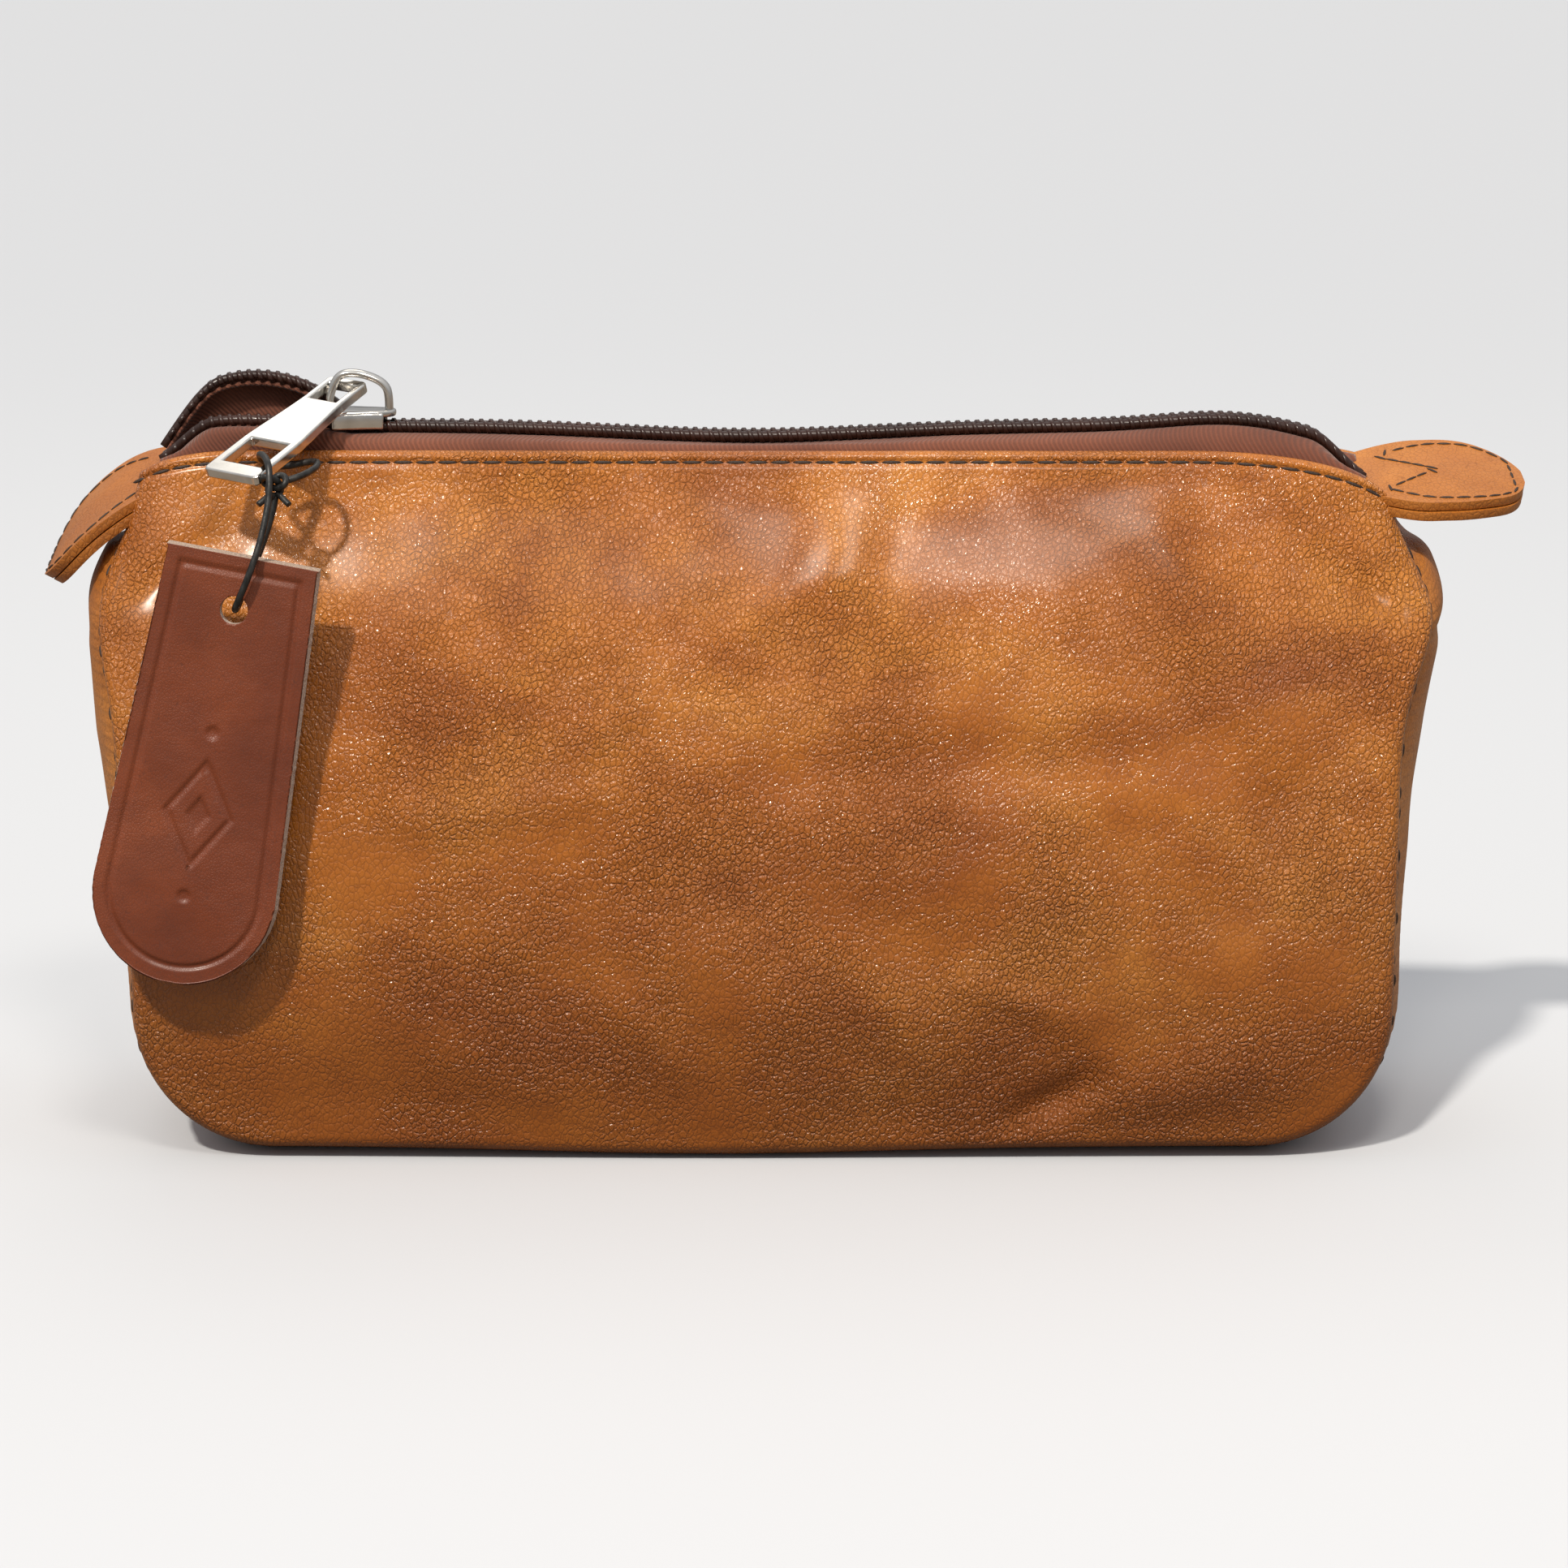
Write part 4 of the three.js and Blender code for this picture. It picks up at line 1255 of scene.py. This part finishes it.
def hang_tag():
    leather = bmesh.new()
    columns, rows = 84, 190
    bmesh.ops.create_grid(leather, x_segments=columns, y_segments=rows, size=1)
    for vertex in leather.verts:
        share = (vertex.co.y + 1) / 2
        up = mix(tag_bottom, tag_top, mix(share, 1 - math.cos(share * math.pi / 2), 0.35))
        x = vertex.co.x * max(tag_half(up), 0.4 * MM)
        fray = 0.1 * MM * noise.noise(Vector((up * 1400, vertex.co.x * 3, 0))) * abs(vertex.co.x) ** 12
        bend = 0.5 * MM * (up / (50 * MM)) ** 2 + 0.25 * MM * noise.noise(Vector((x * 60, up * 40, 3)))
        vertex.co = Vector((x + fray, up, bend - pressed(x, up)))
    bmesh.ops.solidify(leather, geom=leather.faces[:], thickness=tag_ply)
    for vertex in leather.verts:
        if vertex.co.z < -tag_ply * 0.5:
            vertex.co.z = min(vertex.co.z + pressed(vertex.co.x, vertex.co.y), vertex.co.z + tag_ply)
    rim_edges = [edge for edge in leather.edges if is_rim(edge)]
    front_rim = {vertex for edge in rim_edges for vertex in edge.verts if vertex.co.z > -tag_ply * 0.5}
    for vertex in front_rim:
        on_top_edge = abs(vertex.co.y - tag_top) < 0.01 * MM
        if not on_top_edge:
            vertex.co.x -= math.copysign(rim_slope, vertex.co.x)
        vertex.co.y -= math.copysign(rim_slope, vertex.co.y - tag_bottom - 20 * MM)
    middle = sum(vertex.co.z for vertex in leather.verts) / len(leather.verts)
    at_hole = set_in_place(tag_across, tag_up, tag_face, tag_hole_place)
    bmesh.ops.transform(leather, matrix=at_hole @ Matrix.Translation((0, 0, -middle)), verts=leather.verts)
    made = piece("hang_tag_leather", leather, tag_russet, "tag")
    punch = bmesh.new()
    bmesh.ops.create_cone(
        punch,
        cap_ends=True,
        segments=40,
        radius1=hole_radius,
        radius2=hole_radius,
        depth=4 * tag_ply,
        matrix=at_hole,
    )
    cutter = piece("punch", punch, None, "tag")
    hole = made.modifiers.new("hole", "BOOLEAN")
    hole.object = cutter
    hole.solver = "EXACT"
    bpy.context.view_layer.update()
    cut_mesh = bpy.data.meshes.new_from_object(made.evaluated_get(bpy.context.evaluated_depsgraph_get()))
    made.modifiers.clear()
    made.data = cut_mesh
    bpy.data.objects.remove(cutter)
    made.data.materials.clear()
    made.data.materials.append(tag_russet)
    made.data.materials.append(raw_edge)
    for face in made.data.polygons:
        cut_face = abs(face.normal.dot(tag_face)) < 0.35
        face.material_index = 1 if cut_face else 0
        face.use_smooth = not cut_face
    return made


def raw_edge_finish():
    made = Finish("raw_edge", 0.95)
    fibres = made.clouds(2600, 5)
    made.feed("Base Color", made.ramp(fibres, (0.3, (0.19, 0.1, 0.06)), (0.7, (0.5, 0.34, 0.22))))
    made.feed("Normal", made.bump(fibres, 0.3 * MM, 1.0))
    made.feed("Sheen Weight", 0.5)
    return made.material


tag_tones = [(0.11, 0.02, 0.005), (0.175, 0.034, 0.008), (0.23, 0.05, 0.013)]
tag_russet = leather_finish(
    "tag_leather", tag_tones, roughness=0.46, grain_size=0.42 * MM, coat=0.12, grain_depth=0.035
)
raw_edge = raw_edge_finish()
tag_piece = hang_tag()
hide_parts("hang_tag")
print(tag_piece.name, len(tag_piece.data.polygons), "faces")

# %% [markdown]
# ## The cord and its knot
# The cord is a tube along the route that was set first, with a fine twisted texture of its own.
# The two strands end in an overhand knot. A trefoil is the shape of an overhand knot pulled
# tight, so the knot is a tube along a small trefoil, with two short trimmed ends.

# %% Make the cord
def cord_finish():
    made = Finish("waxed_cord", 0.42)
    strands = made.clouds(1500, 2, 0, made.shifted((0.5, 0.2, 0), (1, 1, 0.3)))
    made.feed("Base Color", made.ramp(strands, (0.35, (0.006, 0.006, 0.006)), (0.7, (0.025, 0.024, 0.023))))
    made.feed("Normal", made.bump(strands, 0.1 * MM, 0.8))
    made.feed("Roughness", made.levels(strands, 0.3, 0.7, 0.34, 0.55))
    return made.material


waxed_cord = cord_finish()
tag_cord = piece("tag_string", swept("string", cord_path, 0.5 * MM), waxed_cord, "cord")
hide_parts("tag_cord")
knot_low, knot_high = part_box("cord_knot")
knot_middle = (knot_low + knot_high) / 2
knot_size = 0.62 * MM


def trefoil(turn):
    angle = 2 * math.pi * turn
    flat_x = math.sin(angle) + 2 * math.sin(2 * angle)
    flat_z = math.cos(angle) - 2 * math.cos(2 * angle)
    return knot_middle + Vector((flat_x, -1.15 * math.sin(3 * angle), 0.9 * flat_z)) * knot_size


wound = swept("knot", [trefoil(i / 96) for i in range(96)], 0.5 * MM, closed=True)
for lean in (-1, 1):
    tail = []
    for t in (0, 0.4, 0.8, 1.2):
        tail.append(knot_middle + Vector((0.4 * lean + 1.5 * lean * t, -1.2 * t, -1.3 - 1.2 * t)) * MM)
    add_to(wound, swept("tail", smooth_route(tail, 12), 0.46 * MM))
knot = piece("tag_knot", wound, waxed_cord, "cord")
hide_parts("cord_knot")

# %% [markdown]
# ## The lips of the mouth
# Running the slider back lets the two lips of the mouth part. The frame has one hinged body for
# each lip. A soft lip isn't hinged, though: it stays closed at both ends and opens most in the
# middle, and the panel below it follows less and less. `lip_share` gives that share, but here the
# lip pieces are only baked in place, closed.

# %% Weights of the lips
def lip_share(x, z):
    along = smooth(x, -91 * MM, -40 * MM) * (1 - smooth(x, 8 * MM, 62 * MM))
    return along * smooth(z, 46 * MM, 92 * MM)


def part_lips(made):
    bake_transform(made)


for name in panels:
    for made in (leathers[name], linings[name], tapes[name], coils[name], hem_stitches[name]):
        part_lips(made)
print("widest at x = -25 mm:", lip_share(-25 * MM, 104 * MM))

# %% [markdown]
# ## Light and floor
# One soft sun stands high at the front left: it draws the shadow of the tag and the glints in the
# grain. The sky is bright overhead and dim at the horizon, so the underside of the bulge falls
# dark. A soft box in front and a card behind give the glaze and the metal something to mirror.
# The floor is a wide disc, pale to the eye and darker to bounced light.

# %% Light the pouch
scene = bpy.context.scene
world = bpy.data.worlds.new("sky")
world.use_nodes = True
scene.world = world
steps, wires = world.node_tree.nodes, world.node_tree.links
backdrop = steps["Background"]
backdrop.inputs["Color"].default_value = (0.82, 0.82, 0.82, 1)
glow = steps.new("ShaderNodeBackground")
direction = steps.new("ShaderNodeTexCoord")
axes = steps.new("ShaderNodeSeparateXYZ")
brightness = steps.new("ShaderNodeMapRange")
brightness.inputs["From Min"].default_value = -0.1
brightness.inputs["To Min"].default_value = 0.28
brightness.inputs["To Max"].default_value = 1.0
rays = steps.new("ShaderNodeLightPath")
either = steps.new("ShaderNodeMixShader")
wires.new(direction.outputs["Generated"], axes.inputs[0])
wires.new(axes.outputs["Z"], brightness.inputs["Value"])
wires.new(brightness.outputs["Result"], glow.inputs["Strength"])
wires.new(rays.outputs["Is Camera Ray"], either.inputs["Fac"])
wires.new(glow.outputs["Background"], either.inputs[1])
wires.new(backdrop.outputs["Background"], either.inputs[2])
wires.new(either.outputs["Shader"], steps["World Output"].inputs["Surface"])


def lamp(name, kind, place, power, size):
    light = bpy.data.lights.new(name, kind)
    light.energy = power
    light.color = (1, 0.93, 0.82)
    if kind == "SUN":
        light.angle = size
    else:
        light.size = size
    stand = bpy.data.objects.new(name, light)
    stand.location = place
    stand.rotation_euler = (Vector(place) - Vector((0, 0, 0.06))).to_track_quat("Z", "Y").to_euler()
    scene.collection.objects.link(stand)


lamp("sun", "SUN", (-0.3, -0.6, 0.9), 2.6, 0.06)
lamp("soft_box", "AREA", (0.05, -0.42, 0.6), 1.2, 0.12)
lamp("back_card", "AREA", (-0.13, 0.45, 0.7), 0.5, 0.3)

# %% Lay the floor
disc = bmesh.new()
bmesh.ops.create_circle(disc, segments=96, radius=20, cap_ends=True)
floor = piece("floor", disc, None, None)
paper = Finish("floor_paper", 0.9)
seen = paper.add("ShaderNodeLightPath", {}).outputs["Is Camera Ray"]
paper.feed("Base Color", paper.blend_colours(seen, (0.2, 0.17, 0.14, 1), (0.6, 0.62, 0.66, 1)))
floor.data.materials.append(paper.material)
floor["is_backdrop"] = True

# %% [markdown]
# ## The size and finish
# The sizes of the frame and of the soft pieces are printed side by side. The soft pieces stand a
# little proud of the frame.
# The soft pieces may stand a little proud of the frame, never far.

# %% Finish
visual_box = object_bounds()
sizes = {"cad": [list(corner) for corner in cad_box], "visual": [list(corner) for corner in visual_box]}
for key, (low, high) in sizes.items():
    print(key, [round((b - a) / MM, 1) for a, b in zip(low, high)], "mm")
